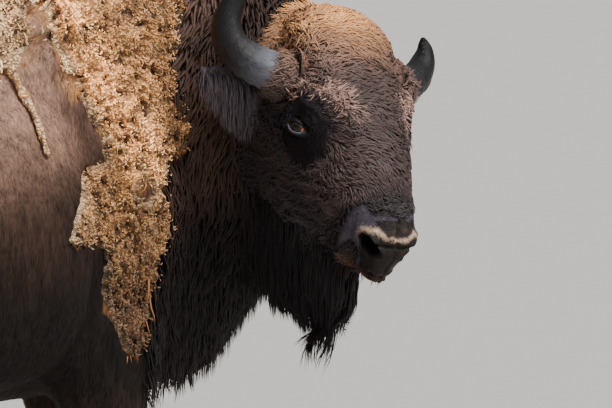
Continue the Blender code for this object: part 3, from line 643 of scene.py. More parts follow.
def skin_material():
    """Short flat fur in the markings, and leathery bare skin where there is none."""
    finish = Finish("short_coat_and_skin")
    bare = finish.stored("bare")["Fac"]
    place = finish.place()
    long = finish.stretched(place, 1.0, 1.0, 0.16)
    both = finish.math("ADD", finish.noise(long, 260.0, 3.0), finish.noise(long, 75.0, 4.0))
    fur = finish.bump(both, 0.8, 0.004)
    hide = finish.bump(finish.cells(place, 420.0), 0.5, 0.0016)
    light = finish.ranged(both, 0.7, 1.3, 0.42, 1.58)
    return finish.surface(
        Base_Color=finish.scaled(finish.tint(), light),
        Normal=finish.add("Mix", [("data_type", "VECTOR")], i0=bare, i4=fur, i5=hide)[1],
        Roughness=finish.ranged(bare, 0.0, 1.0, 0.72, 0.50),
        Specular_IOR_Level=0.15,
    )


def horn_material():
    """Grey-black horn: rough, pale and scaly at the base, smooth and dark to the tip."""
    finish = Finish("bull_horn")
    across, along, side = finish.strand()
    place = finish.place()
    slow = finish.math("MULTIPLY", along, 2.2)
    grain = finish.noise(finish.add("CombineXYZ", X=across, Y=slow, Z=side)[0], 11.0, 5.0)
    reach = finish.math("ADD", along, finish.math("MULTIPLY", grain, 0.55))
    ages = finish.add("ValToRGB", Fac=finish.math("ADD", reach, -0.04))[0]
    bands = ages.node.color_ramp.elements
    bands[0].position, bands[0].color = 0.34, (0.22, 0.225, 0.265, 1)
    bands[1].position, bands[1].color = 0.95, (0.004, 0.004, 0.004, 1)
    for spot, colour in ((0.46, (0.085, 0.088, 0.105, 1)), (0.58, (0.014, 0.013, 0.014, 1))):
        bands.new(spot).color = colour
    both = finish.math("ADD", grain, finish.noise(place, 46.0, 6.0))
    flakes = finish.math("MULTIPLY", finish.cells(place, 190.0), 0.15)
    return finish.surface(
        Base_Color=finish.scaled(ages, finish.ranged(grain, 0.3, 0.7, 0.12, 2.0)),
        Normal=finish.bump(finish.math("ADD", both, flakes), 0.45, 0.003),
        Roughness=finish.ranged(along, 0.0, 0.55, 0.62, 0.44),
        Specular_IOR_Level=0.22,
    )


def hoof_material():
    """Dark hoof horn with growth rings and dry, scuffed lower edges."""
    finish = Finish("hoof_horn")
    place = finish.place()
    rings = finish.noise(finish.stretched(place, 0.25, 0.25, 1.0), 190.0, 3.0)
    fibres = finish.noise(finish.stretched(place, 1.0, 1.0, 0.12), 320.0, 3.0)
    dust = finish.ranged(finish.add("SeparateXYZ", Vector=place)["Z"], 0.0, 0.045, 1.0, 0.0)
    clean, dusty = (0.022, 0.018, 0.016, 1), (0.17, 0.14, 0.11, 1)
    worn = finish.math("MULTIPLY", dust, fibres)
    colour = finish.add("Mix", [("data_type", "RGBA")], i0=worn, i6=clean, i7=dusty)[2]
    return finish.surface(
        Base_Color=finish.scaled(colour, finish.ranged(rings, 0.0, 1.0, 0.55, 1.5)),
        Normal=finish.bump(finish.math("ADD", rings, fibres), 0.5, 0.0015),
        Roughness=0.5,
    )


def eye_material():
    """Dark wet eye, with flecks in the iris."""
    finish = Finish("wet_eye")
    light = finish.ranged(finish.noise(finish.place(), 900.0, 2.0), 0.0, 1.0, 0.6, 1.4)
    return finish.surface(
        Base_Color=finish.scaled(finish.tint(), light),
        Roughness=0.35,
        Specular_IOR_Level=0.1,
        Coat_Weight=0.5,
        Coat_Roughness=0.03,
    )


def wool_material():
    """Matted old wool: small pale curls in crimped rows, and painted shade in the gaps between
    them, where the bump sinks.
    """
    finish = Finish("old_wool")
    place = finish.place()
    warp = finish.noise(place, 70.0, 2.0).node.outputs[1]
    swirl = [("operation", "MULTIPLY_ADD")]
    bent = finish.add("VectorMath", swirl, i0=warp, i1=(0.016, 0.016, 0.016), i2=place)[0]
    curls = finish.cells(finish.stretched(bent, 0.62, 1.0, 1.0, Rotation=(0.0, 0.55, 0.0)), 190.0)
    # Painted shade: the gaps darker, in the same pattern as the bump.
    gaps = finish.ranged(curls, 0.12, 0.72, 1.0, 0.0)
    fibres = finish.math("MULTIPLY", finish.noise(place, 900.0, 2.0), 0.5)
    both = finish.math("ADD", gaps, fibres)
    return finish.surface(
        Base_Color=finish.scaled(finish.tint(), finish.ranged(both, 0.15, 1.15, 0.20, 1.75)),
        Normal=finish.bump(both, 1.0, 0.005),
        Roughness=0.8,
        Specular_IOR_Level=0.2,
        Sheen_Weight=0.25,
        Sheen_Tint=(1.0, 0.86, 0.7, 1),
    )


# ---- mesh building -------------------------------------------------------------------


def linked(name, data):
    """A mesh, lamp or camera as an object in the scene."""
    obj = bpy.data.objects.new(name, data)
    bpy.context.scene.collection.objects.link(obj)
    return obj


def finished(name, mesh, material, nodes=()):
    """Puts a finished mesh on the bull, in its material and in the place of its nodes."""
    piece = linked(name, mesh)
    mesh.materials.clear()
    mesh.materials.append(material)
    mesh.polygons.foreach_set("use_smooth", np.ones(len(mesh.polygons), bool))
    mesh.update()
    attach(piece, "root")
    if nodes:
        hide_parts(*nodes)


def mesh_points(mesh):
    """Vertex places as rows."""
    points = np.empty(len(mesh.vertices) * 3)
    mesh.vertices.foreach_get("co", points)
    return points.reshape(-1, 3)


def mesh_normals(mesh):
    """Vertex normals as rows."""
    normals = np.empty(len(mesh.vertices) * 3)
    mesh.vertex_normals.foreach_get("vector", normals)
    return normals.reshape(-1, 3)


def set_points(mesh, points):
    """Moves the vertices to the given rows."""
    mesh.vertices.foreach_set("co", np.ascontiguousarray(points, np.float32).ravel())
    mesh.update()


def store(mesh, name, kind, values):
    """Writes one value for each vertex as a named attribute."""
    values = np.asarray(values, np.float32)
    if kind == "FLOAT_COLOR":
        values = np.hstack([values, np.ones((len(values), 1), np.float32)])
    field = {"FLOAT_COLOR": "color", "FLOAT_VECTOR": "vector", "FLOAT": "value"}[kind]
    layer = mesh.attributes.new(name, kind, "POINT")
    layer.data.foreach_set(field, values.ravel())


def flattened(faces):
    """The first corner of each face, and the corners of all the faces in a row."""
    return np.cumsum([0] + [len(face) for face in faces[:-1]]), np.concatenate(faces)


def mesh_from(name, points, starts, corners):
    """A mesh from vertex rows, the first corner of each face and the corners' vertices."""
    mesh = bpy.data.meshes.new(name)
    mesh.vertices.add(len(points))
    mesh.vertices.foreach_set("co", np.ascontiguousarray(points, np.float32).ravel())
    mesh.loops.add(len(corners))
    mesh.loops.foreach_set("vertex_index", np.asarray(corners, np.int32))
    mesh.polygons.add(len(starts))
    mesh.polygons.foreach_set("loop_start", np.asarray(starts, np.int32))
    mesh.update(calc_edges=True)
    return mesh


@contextmanager
def editing(mesh, source=None):
    """A mesh, or a source to fill it from, opened for edits that are then written to it."""
    bm = bmesh.new()
    bm.from_mesh(source or mesh)
    yield bm
    bm.to_mesh(mesh)
    bm.free()


def facing_out(mesh):
    """Faces turned outwards."""
    with editing(mesh) as bm:
        bmesh.ops.recalc_face_normals(bm, faces=bm.faces)


def solid_of(node, swell=0.0):
    """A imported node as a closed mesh, swollen by a little."""
    mesh = bpy.data.meshes.new("solid")
    with editing(mesh, NODES[node].data) as bm:
        bmesh.ops.remove_doubles(bm, verts=bm.verts, dist=1e-5)
        bmesh.ops.recalc_face_normals(bm, faces=bm.faces)
        bm.normal_update()
        for vert in bm.verts:
            vert.co += vert.normal * swell
    return mesh


def with_modifier(obj, kind, **settings):
    """Puts one modifier on obj, and the plain mesh that comes out of it in its place."""
    modifier = obj.modifiers.new(kind, kind)
    for key, value in settings.items():
        setattr(modifier, key, value)
    depsgraph = bpy.context.evaluated_depsgraph_get()
    made = bpy.data.meshes.new_from_object(obj.evaluated_get(depsgraph))
    obj.modifiers.clear()
    obj.data = made


def triangles(mesh):
    """Triangle corners as rows of vertex numbers."""
    mesh.calc_loop_triangles()
    corners = np.empty(len(mesh.loop_triangles) * 3, np.int32)
    mesh.loop_triangles.foreach_get("vertices", corners)
    return corners.reshape(-1, 3)


def tree_of(mesh):
    """A search tree of a mesh's triangles."""
    return BVHTree.FromPolygons(mesh_points(mesh).tolist(), triangles(mesh).tolist())


def ring_faces(rows_count, columns):
    """Four-sided faces between rows of points that each run once round."""
    faces = []
    for start in range(0, (rows_count - 1) * columns, columns):
        for k in range(columns):
            a, b = start + k, start + (k + 1) % columns
            faces.append((a, b, b + columns, a + columns))
    return faces


def tube_mesh(name, points, rows_count, columns):
    """A closed tube whose two end points come after its rings."""
    faces = ring_faces(rows_count, columns)
    root, last = rows_count * columns, (rows_count - 1) * columns
    for k in range(columns):
        after = (k + 1) % columns
        faces += [(root, after, k), (root + 1, last + k, last + after)]
    mesh = mesh_from(name, points, *flattened(faces))
    facing_out(mesh)
    return mesh


def round_path(centres, hint, columns):
    """Ways along a path, turns round it, and at each place the ways out at those turns."""
    run = unit(np.gradient(centres, axis=0))
    side = unit(np.cross(run, np.tile(hint, (len(run), 1))))
    lift = np.cross(side, run)
    turns = np.arange(columns) * 2 * np.pi / columns
    ring = side[:, None] * np.cos(turns)[:, None] + lift[:, None] * np.sin(turns)[:, None]
    return run, turns, ring


# ---- skin ----------------------------------------------------------------------------
FLESH = ["head", "beard", "neck", "thorax", "abdomen", "hindquarters", "tail", "tail_tuft"]
FLESH += ["ear_right", "ear_left"]
FLESH += [f"{leg}_{part}" for leg in LEGS for part in ("upper", "lower")]
SKIN_VOXEL = 0.0062
OVERLAP = 0.0012  # that the flesh nodes are swollen by, so that the cuts between them close


def melted_flesh():
    """All the flesh nodes as one closed, even mesh."""
    mesh = bpy.data.meshes.new("flesh")
    with editing(mesh) as whole:
        for node in FLESH:
            part = solid_of(node, OVERLAP)
            whole.from_mesh(part)
            bpy.data.meshes.remove(part)
    obj = linked("flesh", mesh)
    with_modifier(obj, "REMESH", mode="VOXEL", voxel_size=SKIN_VOXEL)
    return obj


def smooth_group(obj, name, weights):
    """Makes a vertex group holding the given weights, in eighths."""
    group = obj.vertex_groups.new(name=name)
    levels = np.round(np.clip(weights, 0, 1) * 8).astype(int)
    for level in range(1, 9):
        chosen = np.nonzero(levels == level)[0]
        if len(chosen):
            group.add(chosen.tolist(), level / 8, "REPLACE")


def relax(obj):
    """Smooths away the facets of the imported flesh, more on the body than on the head."""
    points = mesh_points(obj.data)
    head = on_head(points)
    smooth_group(obj, "body", (1 - head) * (0.15 + 0.85 * ramp(points[:, 2], 0.18, 0.34)))
    with_modifier(obj, "SMOOTH", factor=0.5, iterations=7)
    with_modifier(obj, "SMOOTH", factor=0.5, iterations=34, vertex_group="body")
    smooth_group(obj, "thin_out", 1 - ramp(head, 0.0, 0.1))
    with_modifier(obj, "DECIMATE", ratio=0.27, vertex_group="thin_out")


def finer_near(mesh, centres, limit):
    """Faces with an edge that starts within the limit of a centre, cut finer."""
    spots = [Vector(c) for c in centres]
    with editing(mesh) as bm:
        edges = [e for e in bm.edges if min((e.verts[0].co - s).length for s in spots) < limit]
        bmesh.ops.subdivide_edges(bm, edges=edges, cuts=1, use_grid_fill=True)
        bmesh.ops.triangulate(bm, faces=[f for f in bm.faces if len(f.verts) > 4])


def settled(points, normals):
    """Skin places, sunk under the coat and lowered to meet the hooves."""
    sunk = points - normals * coat_depth(points)[:, None]
    sunk[:, 2] -= 0.007 * (1 - ramp(points[:, 2], 0.078, 0.110))
    return sunk


def rounded_snout(places):
    """The front of the muzzle rounded off, and narrower towards the mouth."""
    made = places.copy()
    low = ramp(-places[:, 2], -0.010, 0.070) * ramp(places[:, 0], 0.215, 0.275)
    made[:, 1] *= 1 - 0.24 * low
    made[:, 0] -= 7.0 * low * places[:, 1] ** 2
    return made


def brow_and_folds(places, outward):
    """Brow ridges, folds round the eyes, lips and the groove of the mouth."""
    folded = mirrored(places)
    rise = 0.007 * bell(near_line(folded, BROW_LINE)[0], 0.015)
    gap, along = near_line(folded, MOUTH_LINE)
    fade = 1 - ramp(along, 0.6, 1.0)
    rise -= 0.0075 * bell(gap, 0.0035) * fade
    rise += 0.003 * bell(gap - 0.011, 0.006) * fade * ramp(places[:, 0], 0.20, 0.26)
    eye = folded - (0, EYE_SIDE, 0)
    ring = np.hypot(eye[:, 0], eye[:, 2])
    near = ramp(folded[:, 1], 0.085, 0.11) * (1 - ramp(ring, 0.055, 0.075))
    for size, deep in ((0.037, 0.0016), (0.046, 0.0016), (0.057, 0.0012)):
        rise -= deep * bell(ring - size, 0.0028) * near
    rise -= 0.0030 * (bell(places[:, 1], 0.0035) * bare_pad(places))
    rise -= 0.0045 * bell(near_line(folded, SLOT_LINE)[0], 0.0035)
    gap, along = near_line(folded, RIM_LINE)
    rise += 0.0030 * bell(gap, 0.007) * ramp(along, 0.05, 0.3)
    return places + outward * rise[:, None]


def nostrils(places):
    """Two deep wide nostrils with rolled wings."""
    made = places.copy()
    for side in SIDES:
        radius, axis, deep, high = nostril_reach(places, side)
        near = np.abs(deep) < 0.036
        hollow = (1 - ramp(radius, 0.60, 1.0)) * near
        wing = bell(radius - 1.20, 0.18) * near
        thick = 0.0025 + 0.0035 * ramp(high, 0.0, 0.016)
        made -= axis * (0.034 * hollow - thick * wing)[:, None]
    return made


# ---- lids ----------------------------------------------------------------------------
LID_COLUMNS = 64
OVER_EYE = 0.08  # height over the eye from which the skin below is felt for
# Rows of the lids: size against the opening, and height over the eyeball.
LID_ROWS = [(0.90, -0.0016), (0.975, 0.0002), (1.00, 0.0014), (1.06, 0.0026), (1.14, 0.0030)]
LID_ROWS += [(1.25, 0.0026), (1.36, 0.0012), (1.45, 0.0004), (1.56, 0.0014), (1.70, 0.0024)]
LID_ROWS += [(1.86, 0.0016), (2.02, 0.0), (2.20, -0.0012), (2.36, -0.0045)]


def slit(turn):
    """Half-length and half-height places on the edge of the lids' opening."""
    c, s = np.cos(turn), np.sin(turn)
    return SLIT_HALF * c, np.where(s > 0, SLIT_UP, SLIT_DOWN) * s * np.abs(s) ** 0.12


def lid_ring(side, tree):
    """Upper and lower lid as one rolled ring that slips under the skin at its outer edge."""
    centre, axis, length, height = eye_axes(side)
    t0, h0 = slit(np.arange(LID_COLUMNS) * 2 * np.pi / LID_COLUMNS)
    rings = []
    for size, over in LID_ROWS:
        reach = np.hypot(t0 * size, h0 * size)
        ball = np.sqrt(np.maximum((EYE_RADIUS + over) ** 2 - reach**2, 0))
        flat = centre + t0[:, None] * size * length + h0[:, None] * size * height
        floor = []
        for spot in flat:
            start = Vector(from_head(spot + axis * OVER_EYE))
            hit = tree.ray_cast(start, Vector(-(axis @ HEAD_AXES)))[0]
            floor.append(OVER_EYE - (hit - start).length if hit else 0.014)
        floor = np.array(floor)
        share = ramp(size, 1.15, 2.0)
        ball = np.maximum(ball, floor - 0.0085)
        rise = ball * (1 - share) + (floor + over) * share
        if size > 1:
            rise = np.maximum(rise, np.sqrt(np.maximum((EYE_RADIUS + 0.0012) ** 2 - reach**2, 0)))
        rings.append(flat + axis * rise[:, None])
    faces = ring_faces(len(rings), LID_COLUMNS)
    if side > 0:
        faces = [face[::-1] for face in faces]
    return mesh_from("lid", from_head(np.vstack(rings)), *flattened(faces))


def open_sockets(places):
    """Skin behind the eyes pushed in, so that the lids stand in front of it."""
    made = places.copy()
    for side in SIDES:
        size, out, _ = round_eye(places, side)
        push = (1 - ramp(size, 1.62, 1.84)) * (out > -0.02) * (out < 0.06)
        made -= eye_axes(side)[1] * (push * (out + 0.004))[:, None]
    return made


def dewclaw_mounds(points):
    """Skin drawn out behind the fetlocks to meet the dewclaws."""
    made = points.copy()
    for leg in LEGS:
        for toe in ("outer", "inner"):
            spot = middle(f"{leg}_dewclaw_{toe}")
            gap = np.linalg.norm(points - spot, axis=1)
            made += (spot - points) * (0.62 * np.exp(-((gap / 0.029) ** 4)))[:, None]
    return made


def build_skin():
    """The one skin: flesh melted, smoothed, sunk under the coat, and sculpted on the head."""
    obj = melted_flesh()
    relax(obj)
    mesh = obj.data
    snout = from_head(NOSTRIL * (1.02, 0, 1.4))
    by_eyes = [from_head(np.array((0.02, side * 0.13, 0))) for side in SIDES]
    finer_near(mesh, [snout], 0.105)
    finer_near(mesh, by_eyes + [snout], 0.062)
    normals = mesh_normals(mesh)
    points = settled(mesh_points(mesh), normals)
    lumps = 0.0035 * drift(points, 0.11, 5) + 0.0015 * drift(points, 0.045, 6)
    points += normals * (lumps * (1 - on_head(points)))[:, None]
    points = dewclaw_mounds(points)
    set_points(mesh, points)
    head = on_head(points) > 0.98
    outward = mesh_normals(mesh)[head] @ HEAD_AXES.T
    places = brow_and_folds(rounded_snout(head_place(points[head])), outward)
    points[head] = from_head(nostrils(places))
    set_points(mesh, points)
    tree = tree_of(mesh)
    lids = [lid_ring(side, tree) for side in SIDES]
    points[head] = from_head(open_sockets(head_place(points[head])))
    set_points(mesh, points)
    with editing(mesh) as bm:
        for lid in lids:
            bm.from_mesh(lid)
        bmesh.ops.triangulate(bm, faces=[f for f in bm.faces if len(f.verts) > 4])
    bpy.data.objects.remove(obj)
    return mesh


# ---- unwrap of the skin --------------------------------------------------------------


class Unwrap:
    """A flat unwrap of the skin's own shape, read at any place on it."""

    def __init__(self, mesh):
        obj = linked("unwrap", mesh.copy())
        with_modifier(obj, "DECIMATE", ratio=0.06)
        bpy.context.view_layer.objects.active = obj
        obj.select_set(True)
        bpy.ops.object.mode_set(mode="EDIT")
        bpy.ops.mesh.select_all(action="SELECT")
        bpy.ops.uv.smart_project(angle_limit=1.15, island_margin=0.004)
        bpy.ops.object.mode_set(mode="OBJECT")
        coarse = obj.data
        self.points = mesh_points(coarse)
        self.corners = triangles(coarse)
        loops = np.empty(len(self.corners) * 3, np.int32)
        coarse.loop_triangles.foreach_get("loops", loops)
        flat = np.empty(len(coarse.loops) * 2)
        coarse.uv_layers.active.uv.foreach_get("vector", flat)
        self.flat = flat.reshape(-1, 2)[loops].reshape(-1, 3, 2)
        self.tree = tree_of(coarse)
        bpy.data.objects.remove(obj)

    def read(self, points):
        """Places on the unwrap of the spots nearest to the points."""
        faces = np.array([self.tree.find_nearest(Vector(p))[2] for p in points.tolist()])
        a, b, c = (self.points[self.corners[faces, k]] for k in range(3))
        ab, ac, ap = b - a, c - a, points - a
        d00, d01, d11 = (ab * ab).sum(1), (ab * ac).sum(1), (ac * ac).sum(1)
        d20, d21 = (ap * ab).sum(1), (ap * ac).sum(1)
        below = np.maximum(d00 * d11 - d01 * d01, 1e-18)
        v = np.clip((d11 * d20 - d01 * d21) / below, 0, 1)
        w = np.clip((d00 * d21 - d01 * d20) / below, 0, 1 - v)
        shares = np.stack([1 - v - w, v, w], 1)
        return (self.flat[faces] * shares[:, :, None]).sum(1)


# ---- which way the hair lies ---------------------------------------------------------
DOWN = np.array((0.0, 0.0, -1.0))


def rows(*parts):
    """Rows of vectors from their parts, each a number or one value for each row."""
    return np.stack(np.broadcast_arrays(*parts), 1)


def body_lie(points):
    """Back and down over the trunk, down the legs, down and back along the neck."""
    x, y, z = points.T
    way = rows(-0.20 + 0.15 * drift(points, 0.2, 92), 0.0, -1.0)
    spine = ramp(z, 1.35, 1.62)
    way = mix(way, np.array((-1.0, 0.0, -0.15)), spine)
    out = np.where(y > MIDLINE, 1.0, -1.0)
    way = mix(way, rows(-0.5, 0.7 * out, -0.7), ramp(x, 0.42, 0.60) * spine)
    return mix(way, np.array((-0.12, 0.0, -1.0)), 1 - ramp(z, 0.62, 0.85))


def on_cheek(place):
    """1 low on the cheeks, where the hair hangs in curls."""
    return ramp(-place[:, 2] - 0.2 * place[:, 0], -0.055, 0.0)


def head_lie(points):
    """Down the nose and out to the cheeks, across and up the forehead, over the crown."""
    place = head_place(points)
    f, side, _ = place.T
    turn = drift(points, 0.06, 91)
    nose = rows(0.50 + 0.30 * turn, 0.85, 0.0)
    sweep = rows(-0.20 + 0.35 * turn, 1.0, 0.0)
    way = mix(nose, sweep, ramp(-f + 0.018 * turn, -0.030, 0.020))
    behind = ramp(-side, 0.06, 0.14) * ramp(-f, 0.02, 0.07)
    way = mix(way, np.array((-0.75, 0.45, 0.4)), 0.8 * behind)
    over = rows(0.10 + 0.3 * turn, 1.0, 0.0)
    way = mix(way, over, 0.8 * crown(place) * ramp(side, -0.13, -0.02))
    way = mix(way @ HEAD_AXES, np.array((-0.05, 0.18, -1.0)), on_cheek(place))
    return mix(way, np.array((0.10, -0.08, -1.0)), beard(points, place))


def temple_lie(points):
    """Out over the roots of the near horn."""
    return rows(-0.15 + 0.5 * drift(points, 0.025, 93), -1.0, 0.15) @ HEAD_AXES


def wool_lie(points):
    """Down and a little forward, in wandering rows."""
    return rows(0.35 + 0.45 * drift(points, 0.07, 94), 0.0, -1.0)


def coat_lie(points):
    """Direction of the hair anywhere on the bull."""
    return mix(body_lie(points), head_lie(points), on_head(points))


# ---- coat ----------------------------------------------------------------------------
PATCH = 0.003  # size of one tuft on the unwrap
ROOT_DEPTH = 0.0025  # of the locks' first ring under the skin
MOST_BEND = -0.45  # cosine of the sharpest turn that a lock may make between two steps
HANGING_BEND = 0.66  # the same for locks that hang
SIZES = ("steps", "length", "width", "lift", "wave", "pitch", "hang", "frizz", "stray")
REST = dict(base=0.0, ridge=0.34, vary=0.2, clump=0.0, pull=0.0, soft=0.0)


def look(*sizes, **more):
    """Sizes of one kind of lock, in metres, each a number or a function of the roots."""
    return dict(zip(SIZES, sizes)) | REST | more


class Ground:
    """The finished skin as the ground that hair grows from."""

    def __init__(self, mesh):
        self.points = mesh_points(mesh)
        self.normals = mesh_normals(mesh)
        self.corners = triangles(mesh)
        a, b, c = (self.points[self.corners[:, k]] for k in range(3))
        self.areas = np.linalg.norm(np.cross(b - a, c - a), axis=1) / 2
        self.centres = (a + b + c) / 3
        self.tree = tree_of(mesh)
        self.unwrap = Unwrap(mesh)

    def sow(self, count, weights):
        """Evenly spread roots, by the weight of each face, with the normals there."""
        total = np.cumsum(self.areas * weights)
        marks = (np.arange(count) + rng.random(count)) / count * total[-1]
        chosen = self.corners[np.searchsorted(total, marks)]
        v, w = rng.random(count), rng.random(count)
        over = v + w > 1
        v, w = np.where(over, 1 - v, v), np.where(over, 1 - w, w)
        shares = np.stack([1 - v - w, v, w], 1)[:, :, None]
        roots = (self.points[chosen] * shares).sum(1)
        return roots, unit((self.normals[chosen] * shares).sum(1))

    def nearest(self, points):
        """Nearest places on the skin, and the way out of it there."""
        found = [self.tree.find_nearest(Vector(p)) for p in points.tolist()]
        return np.array([f[0] for f in found]), np.array([f[1] for f in found])


def flat_on(direction, normals):
    """direction laid along the surface."""
    return unit(direction - (direction * normals).sum(1)[:, None] * normals)


def crimps(points, pitch, lie):
    """Phase of the waves that run across neighbouring locks together."""
    along = ((points - EYES) * unit(lie(points))).sum(1)
    return along / pitch + 0.9 * drift(points, 0.05, 46) + 0.35 * drift(points, 0.02, 47)


def clumped(line, roots, size, pull):
    """Locks of each small neighbourhood drawn together towards their tips."""
    cells = np.floor(swirled(roots, 0.4 * size, size * 1.7, 97) / size).astype(int)
    own = np.unique(cells, axis=0, return_inverse=True)[1].reshape(-1)
    number = np.bincount(own)[:, None]
    drawn = []
    for k, spot in enumerate(line):
        shared = np.stack([np.bincount(own, spot[:, i]) for i in range(3)], 1) / number
        share = pull * ramp(k / (len(line) - 1), 0.0, 1.0)
        drawn.append(mix(spot, shared[own], np.full(len(spot), share)))
    return drawn


def grow(name, count, weights, lie, sizes, material):
    """One piece of coat: locks from roots on the skin, hugging it or hanging free."""
    roots, normals = ground.sow(int(count * scale), weights)
    if "keep" in sizes:
        kept = sizes["keep"](roots) > 0.5
        roots, normals = roots[kept], normals[kept]
    count = len(roots)
    value = {}
    for key, entry in sizes.items():
        found = entry(roots) if callable(entry) else entry
        value[key] = np.broadcast_to(np.asarray(found, float), (count,))
    steps, lift, hang, base = sizes["steps"], value["lift"], value["hang"], value["base"]
    chance = rng.random(count)
    under = np.clip(-normals[:, 2], 0, 1) * np.clip(hang, 0, 1)
    length = value["length"] * rng.uniform(0.7, 1.25, count)
    length = length * (1 - 0.3 * under)
    width = value["width"] * rng.uniform(0.75, 1.3, count)
    heading = flat_on(lie(roots), normals)
    across = np.cross(heading, normals)
    turn = value["stray"] * rng.normal(0, 1, count)
    clump = value["stray"] * 1.1 * drift(roots, 0.022, 44)
    angle = (turn * 0.6 + clump)[:, None]
    heading = heading * np.cos(angle) + across * np.sin(angle)
    heading = unit(heading + DOWN * (3 * under)[:, None])
    line = [roots + normals * (base - ROOT_DEPTH)[:, None]]
    ups = [normals]
    freed = np.zeros(count)
    curl_way = np.where(drift(roots, 0.03, 45) + 0.5 * rng.normal(0, 1, count) > 0, 1, -1)
    bend = value["frizz"] * curl_way / steps
    for k in range(1, steps + 1):
        t = k / steps
        pull = heading + DOWN * (hang * 0.55)[:, None]
        side = unit(np.cross(heading, ups[-1]))
        heading = unit(pull + side * bend[:, None])
        guess = line[-1] + heading * (length / steps)[:, None]
        floor, out = ground.nearest(guess)
        swell = value["wave"] * np.sin(2 * np.pi * crimps(guess, value["pitch"], lie))
        rise = lift * math.sin(0.5 * math.pi * min(1.0, 0.10 + 1.25 * t))
        rise = base + rise * (0.86 + 0.28 * chance) + swell * min(1.0, 2 * t)
        height = ((guess - floor) * out).sum(1)
        hugged = floor + out * np.maximum(rise, 0.0006)[:, None]
        free = guess + out * np.maximum(0.004 - height, 0)[:, None]
        free = free + side * (swell * 0.8)[:, None]
        loose = np.clip(np.clip(1.3 * hang, 0, 1) * ramp(t, 0.0, 0.6) + 1.6 * under, 0, 1)
        beyond = ramp(height, lift + 0.001, lift + 0.009)
        beyond = np.maximum(beyond, ramp(-out[:, 2], 0.05, 0.35))
        freed = np.maximum(freed, beyond * np.clip(1.3 * hang, 0, 1))
        loose = np.maximum(loose, freed)
        ups.append(unit(mix(out, ups[-1], loose)))
        line.append(mix(hugged, free, loose))
        heading = unit(line[-1] - line[-2])
    if sizes["clump"] > 0:
        line = clumped(line, roots, sizes["clump"], sizes["pull"])
    runs = np.diff(np.stack(line, 1), axis=1)
    reach = np.linalg.norm(runs, axis=2)
    even = reach.max(1) < 1.7 * length / steps + 1.1 * lift + 0.008
    even &= reach.sum(1) < 1.4 * length + 1.5 * lift + 0.010
    ways = unit(runs)
    bend = (ways[:, 1:] * ways[:, :-1]).sum(2).min(1)
    even &= (bend > np.where(hang > 0.5, HANGING_BEND, MOST_BEND)) | (value["frizz"] > 2)
    line, ups = [spot[even] for spot in line], [way[even] for way in ups]
    lock_mesh(name, roots[even], line, ups, width[even], chance[even], sizes, material)


def lock_mesh(name, roots, line, ups, width, chance, sizes, material):
    """Closed three-sided locks along the grown lines, all as one mesh."""
    count, steps = len(roots), len(line) - 1
    line, ups = np.stack(line, 1), np.stack(ups, 1)
    run = np.gradient(line, axis=1)
    side = unit(np.cross(run, ups))
    lift = unit(np.cross(side, run))
    roll = (0.5 * (chance - 0.5))[:, None, None]
    c, s = np.cos(roll), np.sin(roll)
    side, lift = side * c + lift * s, lift * c - side * s
    rings, across, along = [], [], []
    for k in range(steps):
        t = k / steps
        full = width * (0.6 + 0.9 * math.sin(math.pi * t**0.8)) * math.sqrt(1 - t)
        rings.append(line[:, k] - side[:, k] * full[:, None])
        rings.append(line[:, k] + lift[:, k] * (full * sizes["ridge"])[:, None])
        rings.append(line[:, k] + side[:, k] * full[:, None])
        across += [-1.0, 0.0, 1.0]
        along += [t, t, t]
    points = np.stack(rings + [line[:, steps]], 1).reshape(-1, 3)
    across, along = np.tile(across + [0.0], count), np.tile(along + [1.0], count)
    each = 3 * steps + 1
    pattern = [(0, 2, 1)]
    for k in range(0, 3 * steps - 3, 3):
        for a, b in ((0, 1), (1, 2), (2, 0)):
            pattern.append((k + a, k + b, k + 3 + b, k + 3 + a))
    for a, b in ((0, 1), (1, 2), (2, 0)):
        pattern.append((3 * steps - 3 + a, 3 * steps - 3 + b, 3 * steps))
    first, flat = flattened(pattern)
    corners = (flat + np.arange(count)[:, None] * each).ravel()
    starts = (first + np.arange(count)[:, None] * len(flat)).ravel()
    mesh = mesh_from(name, points, starts, corners)
    tint = wool_tint(roots, chance) if "wool" in name else markings(roots)
    tint = tint * (1 + sizes["vary"] * rng.uniform(-1, 1, count))[:, None]
    store(mesh, "tint", "FLOAT_COLOR", np.repeat(tint, each, axis=0))
    store(mesh, "strand", "FLOAT_VECTOR", rows(across, along, np.repeat(chance, each)))
    spots = np.repeat(ground.unwrap.read(roots), each, axis=0)
    spots += rows(across * PATCH / 2, (along - 0.5) * PATCH)
    layer = mesh.uv_layers.new(name="OFBake")
    layer.uv.foreach_set("vector", spots[corners].astype(np.float32).ravel())
    if sizes["soft"] > 0:
        outward = np.repeat(ups[:, :steps], 3, axis=1)
        outward = np.concatenate([outward, ups[:, steps:]], axis=1).reshape(-1, 3)
        blend = mix(mesh_normals(mesh), outward, np.full(len(points), sizes["soft"]))
        mesh.polygons.foreach_set("use_smooth", np.ones(len(mesh.polygons), bool))
        mesh.normals_split_custom_set_from_vertices(unit(blend).tolist())
    finished(name, mesh, material)


